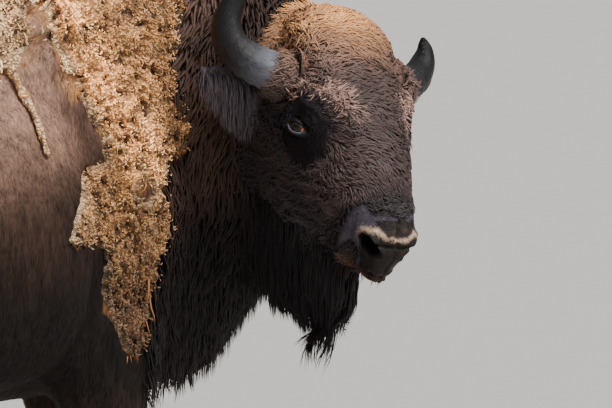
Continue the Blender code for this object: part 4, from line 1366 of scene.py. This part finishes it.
# ---- horns, hooves and eyes ----------------------------------------------------------
# Bends of the horns in the head's axes, with the radius at each.
HORN_RIGHT = [(-0.110, -0.120, 0.015, 0.0435), (-0.122, -0.160, 0.026, 0.0425)]
HORN_RIGHT += [(-0.145, -0.203, 0.026, 0.0395), (-0.178, -0.236, 0.034, 0.0355)]
HORN_RIGHT += [(-0.215, -0.246, 0.060, 0.0295), (-0.246, -0.232, 0.096, 0.0215)]
HORN_RIGHT += [(-0.264, -0.210, 0.130, 0.0125), (-0.270, -0.196, 0.148, 0.0045)]
HORN_LEFT = [(-0.110, 0.110, 0.014, 0.0395), (-0.122, 0.150, 0.026, 0.0385)]
HORN_LEFT += [(-0.145, 0.188, 0.023, 0.0355), (-0.172, 0.214, 0.026, 0.0305)]
HORN_LEFT += [(-0.197, 0.229, 0.035, 0.0255), (-0.215, 0.233, 0.047, 0.0185)]
HORN_LEFT += [(-0.227, 0.229, 0.058, 0.0115), (-0.233, 0.224, 0.067, 0.0045)]
HORN_COLUMNS = 40


def horn(name, bends, colour_offset, material):
    """A tapering horn with rough rings round its base."""
    made = splined(bends, 12)
    count = len(made)
    centres = from_head(made[:, :3])
    run, turns, ring = round_path(centres, FORWARD, HORN_COLUMNS)
    points = (centres[:, None] + ring * made[:, 3][:, None, None]).reshape(-1, 3)
    share = np.repeat(np.linspace(0, 1, count), HORN_COLUMNS)
    turns = np.tile(turns, count)
    fade = 1 - ramp(share, 0.25, 0.55)
    rings = np.abs(np.sin(share * 46 + 1.2 * drift(points, 0.03, 61)))
    rough = drift(points, 0.009, 62) * 0.0012 + drift(points, 0.02, 63) * 0.0014
    flutes = 0.0008 * np.sin(turns * 9 + 2 * drift(points, 0.05, 64))
    rise = fade * (rough - 0.0018 * (1 - rings) ** 3 + flutes) - 0.0010 * fade
    points += ring.reshape(-1, 3) * rise[:, None]
    points = np.vstack([points, centres[0] - run[0] * 0.01, centres[-1] + run[-1] * 0.002])
    mesh = tube_mesh(name, points, count, HORN_COLUMNS)
    # The colours start further along by the offset, so a horn with a larger one shows less of the
    # pale base and is darker.
    age = colour_offset + (1 - colour_offset) * np.append(share, (0, 1))
    strand = rows(np.append(np.cos(turns) * 2, (0, 0)), age, np.append(np.sin(turns) * 2, (0, 0)))
    store(mesh, "strand", "FLOAT_VECTOR", strand)
    finished(name + "_horn", mesh, material, (name,))


def horn_collar(name, bends, count):
    """Curly locks round the root of a horn, lying out along it."""
    fine = splined(bends, 24)
    centres = from_head(fine[:, :3])
    ways = unit(np.gradient(centres, axis=0))
    steps = 5
    run = np.concatenate([[0], np.cumsum(np.linalg.norm(np.diff(centres, axis=0), axis=1))])
    chance = rng.random(count)
    turn = rng.uniform(0, 2 * np.pi, count)
    start = rng.uniform(0.0, 0.026, count)
    length = rng.uniform(0.020, 0.040, count)
    swirl = rng.normal(0.15, 0.50, count)
    line, ups = [], []
    for t in np.arange(steps + 1) / steps:
        far = start + length * t
        spot = np.stack([np.interp(far, run, centres[:, i]) for i in range(3)], 1)
        way = unit(np.stack([np.interp(far, run, ways[:, i]) for i in range(3)], 1))
        side = unit(np.cross(way, np.tile(FORWARD, (count, 1))))
        lift = np.cross(side, way)
        around = turn + swirl * t + 0.13 * np.sin(far * 260 + 23 * swirl)
        out = side * np.cos(around)[:, None] + lift * np.sin(around)[:, None]
        puff = 0.014 * math.sin(math.pi * min(0.62, t + 0.10)) * (0.6 + 0.6 * chance)
        line.append(spot + out * (np.interp(far, run, fine[:, 3]) - 0.004 + puff)[:, None])
        ups.append(out)
    width = rng.uniform(0.0014, 0.0026, count)
    line, roots = clumped(line, line[0], 0.012, 0.4), line[0]
    sizes = REST | dict(ridge=0.4, vary=0.25)
    lock_mesh(name, roots, line, ups, width, chance, sizes, face_finish)


def eyeball(name, side, material):
    """A wet eyeball with a bulging cornea, looking out and a little forward."""
    mesh = bpy.data.meshes.new(name)
    with editing(mesh) as bm:
        bmesh.ops.create_uvsphere(bm, u_segments=64, v_segments=48, radius=EYE_RADIUS)
    places = mesh_points(mesh)
    centre, axis, length, height = eye_axes(side)
    ways = unit(places)
    t, h, facing = ways.T
    grown = places + ways * (0.0009 * ramp(facing, 0.76, 0.96))[:, None]
    turned = grown[:, :1] * length + grown[:, 1:2] * height + grown[:, 2:] * axis
    set_points(mesh, from_head(centre + turned))
    reach = np.arccos(np.clip(facing, -1, 1))
    colour = painted(
        len(ways),
        tone(74, 48, 40),
        (tone(38, 20, 13), 1 - ramp(reach, 0.66, 0.74)),
        (tone(14, 9, 8), ramp(reach, 0.52, 0.64) * (1 - ramp(reach, 0.68, 0.78))),
        (tone(4, 4, 4), 1 - ramp(np.hypot(t / 0.42, h / 0.25), 0.85, 1.0)),
        (tone(206, 124, 88), ramp(t, 0.60, 0.72) * (1 - ramp(np.abs(h + 0.10), 0.14, 0.36))),
    )
    store(mesh, "tint", "FLOAT_COLOR", colour)
    facing_out(mesh)
    finished(name + "_ball", mesh, material, (name,))


def claw(node, material):
    """Half a hoof, rounder than its block, that runs up under the hair of the coronet."""
    is_dewclaw = "dewclaw" in node
    obj = linked("claw", solid_of(node))
    with_modifier(obj, "REMESH", mode="VOXEL", voxel_size=0.0040)
    with_modifier(obj, "SMOOTH", factor=0.5, iterations=9 if is_dewclaw else 3)
    mesh = obj.data
    points = mesh_points(mesh)
    low, high = corners_of(node)
    z = points[:, 2]
    wave = 0.0007 * np.sin(z * 900 + 1.5 * drift(points, 0.02, 71)) * ramp(z, 0.004, 0.02)
    wave *= 0.3 if is_dewclaw else 1.0
    points += mesh_normals(mesh) * (wave + 0.0002)[:, None]
    if high[2] > 0.06 and not is_dewclaw:
        points[:, 2] += 0.010 * ramp(points[:, 2], high[2] - 0.006, high[2] - 0.001)
    set_points(mesh, np.maximum(points, low))
    bpy.data.objects.remove(obj)
    finished(node + "_hoof", mesh, material, (node,))


# ---- the old wool --------------------------------------------------------------------
STRAND_PATH = [(0.271, -0.105, 1.455), (0.286, -0.116, 1.425), (0.297, -0.136, 1.390)]
STRAND_PATH += [(0.303, -0.160, 1.352), (0.303, -0.188, 1.318), (0.304, -0.204, 1.290)]
STRAND_COLUMNS = 14


def on_side(points, side):
    """Which places lie on one side of the trunk."""
    return points[:, 1] < MIDLINE if side < 0 else points[:, 1] >= MIDLINE


def wool_sheet(name, side, cuts, material):
    """A crimped, torn sheet of old wool lying on the short coat of one side."""
    near = (wool_cover(ground.centres) > -0.012) & on_side(ground.centres, side)
    used, corners = np.unique(ground.corners[near], return_inverse=True)
    corners = corners.reshape(-1)
    mesh = mesh_from(name, ground.points[used], np.arange(0, len(corners), 3), corners)
    with editing(mesh) as bm:
        bmesh.ops.subdivide_edges(bm, edges=bm.edges, cuts=cuts, use_grid_fill=True)
    points = mesh_points(mesh)
    cover = wool_cover(points)
    body = ramp(cover, -0.002, 0.006)
    height = body * wool_height(points) - 0.004 * (1 - body)
    set_points(mesh, points + mesh_normals(mesh) * height[:, None])
    lumps, fine = wool_lumps(points)
    # Lighter on the lumps and darker in the gaps: painted light and shade over the relief, with
    # some random tone.
    shade = np.clip(0.40 + 0.55 * lumps + 0.15 * fine + 0.30 * drift(points, 0.07, 87), 0, 1)
    colour = painted(
        len(points),
        GOLD_DEEP * 0.5,
        (GOLD, shade),
        (GOLD_PALE, 0.6 * (1 - ramp(cover, 0.0, 0.010))),
        (WOOL_SHADE, wool_low(points)),
        (GOLD_PALE, 0.60 * wool_rear(points) * shade),
    )
    store(mesh, "tint", "FLOAT_COLOR", colour * wool_clouds(points))
    obj = linked(name, mesh)
    with_modifier(obj, "SOLIDIFY", thickness=0.003, offset=-1.0)
    made = obj.data
    bpy.data.objects.remove(obj)
    finished(name, made, material)


def hanging_strand(material):
    """A twisted rope of shed wool that hangs from the torn hem over the ribs."""
    path = splined(STRAND_PATH, 16)
    run, turns, ring = round_path(path, DOWN + (0.3, 0.2, 0), STRAND_COLUMNS)
    share = np.linspace(0, 1, len(path))[:, None]
    twist = np.cos(2 * (turns + 9.0 * share))
    radius = 0.0085 * (1 - 0.45 * share) * (1 + 0.28 * twist)
    floor, out = ground.nearest(path)
    path = np.where(share < 0.85, floor + out * 0.009, path)
    points = path[:, None] + ring * radius[:, :, None]
    lumps = drift(points.reshape(-1, 3), 0.006, 95).reshape(radius.shape)
    points = (points + ring * (0.0022 * lumps)[:, :, None]).reshape(-1, 3)
    points = np.vstack([points, path[:1], path[-1:] + run[-1:] * 0.006])
    mesh = tube_mesh("hanging_strand", points, len(path), STRAND_COLUMNS)
    colour = painted(len(points), GOLD, (GOLD_PALE, 0.5 + 0.5 * drift(points, 0.010, 96)))
    store(mesh, "tint", "FLOAT_COLOR", colour)
    finished("hanging_strand", mesh, material)


# ---- lengths and thickness of the hair -----------------------------------------------


def open_face(points):
    """1 on the open face, less towards the muzzle, the eyes and the lips."""
    place = head_place(points)
    folded = mirrored(place)
    eye = np.linalg.norm((folded - (0.006, 0.122, 0.006)) / (0.078, 0.060, 0.058), axis=1)
    by_eye = 1 - ramp(eye, 0.9, 1.5)
    by_nose = ramp(place[:, 0] + 0.25 * place[:, 2], 0.14, 0.22)
    by_mouth = 1 - ramp(near_line(folded, MOUTH_LINE)[0], 0.015, 0.050)
    return 1 - 0.62 * np.maximum(np.maximum(by_eye, by_nose), by_mouth)


def fluff(points):
    """How far the hair stands up, from the brow to the crown."""
    place = head_place(points)
    return ramp(-place[:, 0], 0.0, 0.15) * ramp(place[:, 2], -0.03, 0.04)


def crown_lift(points):
    """Height of the crown's locks, rising from the brow."""
    return 0.0085 + 0.0155 * fluff(points)


def crown_length(points):
    """Locks of the crown, shorter at its front edge."""
    return 0.028 + 0.044 * ramp(crown(head_place(points)), 0.1, 0.8)


def beard_length(points):
    """Locks of the beard, longest at its front, low down and under the chin."""
    place = head_place(points)
    low = ramp(-place[:, 2], 0.12, 0.24)
    ahead = ramp((points - EYES) @ (0.82, -0.57, 0.0), -0.085, -0.030)
    full = 0.098 + (0.036 * low + 0.034 * under_mouth(place)) * ahead
    return full * (0.14 + 0.86 * ramp(near_line(mirrored(place), MOUTH_LINE)[0], 0.012, 0.055))


def bearded(size):
    """A size that holds where the beard is long, and falls as its hairs shorten."""
    return lambda p: size * (0.32 + 0.68 * ramp(beard_length(p), 0.02, 0.085))


def curled(straight, extra):
    """A size that grows by the extra low on the cheeks."""
    return lambda p: straight + extra * on_cheek(head_place(p))


def face_look(steps, width):
    """Locks of the face, shorter and flatter towards the muzzle, the eyes and the lips."""
    wave = curled(0.0030, 0.0022)
    return look(
        steps,
        lambda p: 0.050 * open_face(p),
        lambda p: width * (0.50 + 0.50 * open_face(p)),
        lambda p: (0.0085 + 0.014 * fluff(p)) * open_face(p),
        lambda p: wave(p) * open_face(p),
        pitch=0.023,
        hang=0.0,
        frizz=curled(0.5, 1.3),
        stray=curled(0.26, 0.25),
        clump=0.012,
        pull=0.42,
        soft=0.45,
    )


def trunk_lift(points):
    """Height of the trunk's tufts: most lie flat, and one in twenty stands out."""
    return np.where(rng.random(len(points)) < 0.05, 0.0018, 0.0005)


# ---- make the skin -------------------------------------------------------------------
scale = 1.0
# The last two numbers shade each lock from root to tip: the darker roots are partly the hair's
# own colour and partly painted shade deep in the coat.
coat_finish = hair_material("coat_hair", 0.20, 0.70, 0.10, 0.03, 0.94, 1.06)
face_finish = hair_material("face_hair", 0.50, 0.55, 0.35, 0.12, 0.36, 1.55)
neck_finish = hair_material("neck_hair", 0.28, 0.62, 0.22, 0.05, 0.62, 1.22)
black_finish = hair_material("long_black_hair", 0.35, 0.55, 0.25, 0.03, 0.60, 1.20)
wool_finish = hair_material("wool_curls", 0.40, 0.75, 0.20, 0.20, 0.50, 1.60)
skin_finish = skin_material()

skin = build_skin()
skin_points = mesh_points(skin)
skin_places = head_place(skin_points)
naked = bare_pad(skin_places) * on_head(skin_points)
for eye_side in SIDES:
    lid_gap = np.linalg.norm(skin_places - eye_axes(eye_side)[0], axis=1)
    naked = np.maximum(naked, 1 - ramp(lid_gap, 0.026, 0.032))
store(skin, "tint", "FLOAT_COLOR", markings(skin_points))
store(skin, "bare", "FLOAT", naked)
ground = Ground(skin)
finished("skin", skin, skin_finish, FLESH)

# ---- where each kind of hair grows, by faces of the skin -----------------------------
where = ground.centres
x, y, z = where.T
place = head_place(where)
f, side, u = place.T
folded = mirrored(place)
head = on_head(where)
right = y < 0.10
near_side = side < 0.0
lid_clear = np.ones(len(where))
for eye_side in SIDES:
    opening, out, _ = round_eye(place, eye_side)
    lid_clear *= np.where(np.abs(out) < 0.04, ramp(opening, 1.5, 2.3), 1)


def in_box(node, grow_by):
    """1 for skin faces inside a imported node's box, or as near to it as grow_by."""
    return (depth_in(node, where) > -grow_by).astype(float)


is_ear = np.maximum(in_box("ear_right", 0.004), in_box("ear_left", 0.004))
is_ear *= ramp(np.abs(side), 0.128, 0.150)
is_tail = np.maximum(in_box("tail", 0.01) * (x < -1.09), in_box("tail_tuft", 0.02))
is_leg = (1 - ramp(z, 0.70, 0.82)) * (1 - is_tail)
is_neck = ramp(x, 0.55, 0.66) * (1 - head) * (1 - is_leg)
is_trunk = (1 - head) * (1 - is_leg) * (1 - is_neck) * (1 - is_tail)

is_beard = beard(where, place)
near_lips = 1 - ramp(near_line(folded, MOUTH_LINE)[0], 0.008, 0.014)
near_lips = near_lips * ramp(f, 0.20, 0.25)
hangs = np.maximum(is_beard, under_mouth(place) * head) * (1 - near_lips)
face_part = head * (1 - bare_pad(place)) * (1 - is_ear) * lid_clear * (1 - hangs)
short_part = np.maximum(np.maximum(muzzle(place), eye_patch(place)), near_lips)
long_face = face_part * (1 - short_part) * (1 - 0.8 * crown(place))
dense = np.where(open_face(where) < 0.75, 1.8, 1.0)
on_brow = 1 - ramp(near_line(folded, BROW_LINE)[0], 0.008, 0.017)
on_crown = head * crown(place) * (1 - is_beard) * (1 - is_ear)
on_temple = bell(side + 0.078, 0.020) * ramp(-f, 0.03, 0.07) * ramp(u, 0.0, 0.03)
neck_part = is_neck * (1 - ramp(wool_cover(where), -0.006, 0.0))
trunk_part = is_trunk * (1 - 0.85 * ramp(wool_cover(where), 0.0, 0.006))

# ---- grow the coat -------------------------------------------------------------------
face = (face_finish, "mane")
neck = (neck_finish, "mane")
black = (black_finish, "long_black_hair")
short = (coat_finish, "body_coat")
leg = (coat_finish, "leg_coat")
fine_look = dict(ridge=0.25, vary=0.12)
flat_look = dict(ridge=0.5, soft=0.92)
muzzle_look = look(2, 0.010, 0.0008, 0.0013, 0.0, 0.02, 0.0, 0.2, 0.15, soft=0.8) | fine_look
brow_look = look(4, 0.026, 0.0017, 0.008, 0.0042, 0.012, 0.0, 2.6, 0.6)
crown_look = look(5, crown_length, 0.0015, crown_lift, 0.0034, 0.032, 0.0, 0.5, 0.24)
crown_look |= dict(clump=0.018, pull=0.5, soft=0.45)
temple_look = look(4, 0.040, 0.0018, 0.022, 0.0040, 0.020, 0.0, 0.9, 0.45)
temple_look |= dict(clump=0.014, pull=0.3, soft=0.45)
beard_look = look(6, beard_length, bearded(0.0017), bearded(0.020), bearded(0.0022), 0.085)
beard_look |= dict(hang=bearded(1.35), frizz=0.3, stray=0.22, clump=0.022, pull=0.5)
ear_look = look(4, 0.052, 0.0013, 0.008, 0.0016, 0.04, 0.55, 0.2, 0.20, clump=0.016, pull=0.45)
mane_look = look(4, 0.066, 0.0022, 0.016, 0.0036, 0.040, 0.08, 0.35, 0.24) | fine_look
mane_look |= dict(clump=0.022, pull=0.5, soft=0.4)
throat_look = look(5, 0.085, 0.0020, 0.020, 0.004, 0.05, 0.65, 0.2, 0.25, clump=0.026, pull=0.55)
trunk_look = look(2, 0.030, 0.0011, trunk_lift, 0.0, 0.05, 0.0, 0.12, 0.08, vary=0.05)
trunk_look |= flat_look
leg_look = look(2, 0.022, 0.0015, 0.0007, 0.0, 0.05, 0.0, 0.1, 0.12, vary=0.08) | flat_look
tail_look = look(5, 0.11, 0.0020, 0.008, 0.003, 0.05, 0.6, 0.2, 0.18, clump=0.03, pull=0.5)
curl_look = look(2, 0.0090, 0.0017, 0.0030, 0.0020, 0.0110, 0.0, 4.0, 1.2, soft=0.5)
curl_look |= dict(base=lambda p: wool_height(p) - 0.0010, keep=lambda p: wool_lumps(p)[0] > -0.1)

GROWTH = [
    ("face_locks", 6900, long_face * near_side * dense, face_look(5, 0.0020), face),
    ("far_face_locks", 3800, long_face * ~near_side * dense, face_look(4, 0.0025), face),
    ("muzzle_hair", 6800, face_part * short_part, muzzle_look, short),
    ("brow_curls", 1100, on_brow * head, brow_look, face),
    ("crown_locks", 7000, on_crown, crown_look, face),
    ("temple_curls", 750, on_temple * head, temple_look, face),
    ("beard_locks", 6100, hangs, beard_look, black),
    ("ear_hair", 2200, is_ear, ear_look, black),
    ("mane_right", 5200, neck_part * right, mane_look, neck),
    ("mane_left", 3500, neck_part * ~right, mane_look, neck),
    ("throat_locks", 2700, is_neck * (1 - ramp(z, 0.94, 1.10)), throat_look, black),
    ("flank_right", 6000, trunk_part * right, trunk_look, short),
    ("flank_left", 4600, trunk_part * ~right, trunk_look, short),
    ("leg_hair", 5600, is_leg * np.where(z < 0.12, 2.5, 1.0), leg_look, leg),
    ("tail_hair", 1100, is_tail, tail_look, black),
]
for name, count, weights, sizes, (material, slot) in GROWTH:
    lie = temple_lie if name == "temple_curls" else coat_lie
    grow(name, count, weights, lie, sizes, material)

wool_skin = wool_material()
hanging_strand(wool_skin)
for wool_side, side_name, cuts, count in ((-1, "right", 2, 15000), (1, "left", 1, 6400)):
    wool_sheet(f"wool_sheet_{side_name}", wool_side, cuts, wool_skin)
    weights = ramp(wool_cover(where), -0.001, 0.003) * on_side(where, wool_side)
    grow(f"wool_curls_{side_name}", count, weights, wool_lie, curl_look, wool_finish)

# ---- horns, eyes and hooves ----------------------------------------------------------
horn_finish = horn_material()
# The far horn's colours start further along its length, so it is darker.
for horn_name, bends, worn in (("horn_right", HORN_RIGHT, 0.0), ("horn_left", HORN_LEFT, 0.2)):
    horn(horn_name, bends, worn, horn_finish)
    horn_collar(horn_name + "_collar", bends, int(620 * scale))
eye_finish = eye_material()
eyeball("eye_right", -1, eye_finish)
eyeball("eye_left", 1, eye_finish)
hoof_finish = hoof_material()
for leg_name in LEGS:
    for toe in ("claw_outer", "claw_inner", "dewclaw_outer", "dewclaw_inner"):
        claw(f"{leg_name}_{toe}", hoof_finish)

# ---- floor, light and camera ---------------------------------------------------------
HEADING = math.radians(35)
AWAY = np.array((math.sin(HEADING), math.cos(HEADING), 0.0))
ASIDE = np.array((AWAY[1], -AWAY[0], 0.0))
CAMERA_FROM_EYES = np.array((-2.523, -3.446, 0.544))
CAMERA_DIP = 0.160015485  # below level, in radians
FOCAL_LENGTH = 126.470588235  # in millimetres, as the sensor's width
SENSOR_WIDTH = 36.0
FLOOR_REACH = 90.0
SKY_TONE = (0.84, 0.88, 0.95, 1)
SKY_STRENGTH = 0.40


def plain_floor():
    """A wide pale floor."""
    mesh = bpy.data.meshes.new("floor")
    signs = ((-1, -1), (1, -1), (1, 1), (-1, 1))
    corners = [(FLOOR_REACH * i, FLOOR_REACH * j, 0) for i, j in signs]
    mesh.from_pydata(corners, [], [(0, 1, 2, 3)])
    floor = linked("floor", mesh)
    finish = Finish("pale_floor")
    mesh.materials.append(finish.surface(Base_Color=(0.46, 0.45, 0.43, 1), Roughness=0.85))


def soft_sun(name, toward, strength, spread, colour):
    """A broad far light that shines from the given direction."""
    lamp = bpy.data.lights.new(name, "SUN")
    lamp.energy = strength
    lamp.angle = math.radians(spread)
    lamp.color = colour
    holder = linked(name, lamp)
    holder.rotation_euler = Vector(toward).to_track_quat("Z", "Y").to_euler()


def studio():
    """Floor, a warm key light, a wide side light and a pale sky."""
    plain_floor()
    key = ASIDE * 0.40 - AWAY * 0.30 - DOWN
    soft_sun("key_light", key, strength=4.8, spread=18, colour=(1.0, 0.965, 0.92))
    aside = ASIDE * 0.9 - AWAY * 0.6 - DOWN * 0.35
    soft_sun("side_light", aside, strength=1.1, spread=45, colour=(1.0, 0.97, 0.95))
    world = bpy.data.worlds.new("studio")
    world.use_nodes = True
    sky = world.node_tree.nodes["Background"].inputs
    sky[0].default_value, sky[1].default_value = SKY_TONE, SKY_STRENGTH
    bpy.context.scene.world = world


def camera():
    """A long lens on the bull's right front, a little above his eyes."""
    lens = bpy.data.cameras.new("camera")
    lens.sensor_width = SENSOR_WIDTH
    lens.lens = FOCAL_LENGTH
    lens.clip_end = 300
    eye = linked("camera", lens)
    gaze = Vector(AWAY * math.cos(CAMERA_DIP) + DOWN * math.sin(CAMERA_DIP))
    eye.location = EYES + CAMERA_FROM_EYES
    eye.rotation_euler = gaze.to_track_quat("-Z", "Y").to_euler()
    bpy.context.scene.camera = eye


studio()
camera()
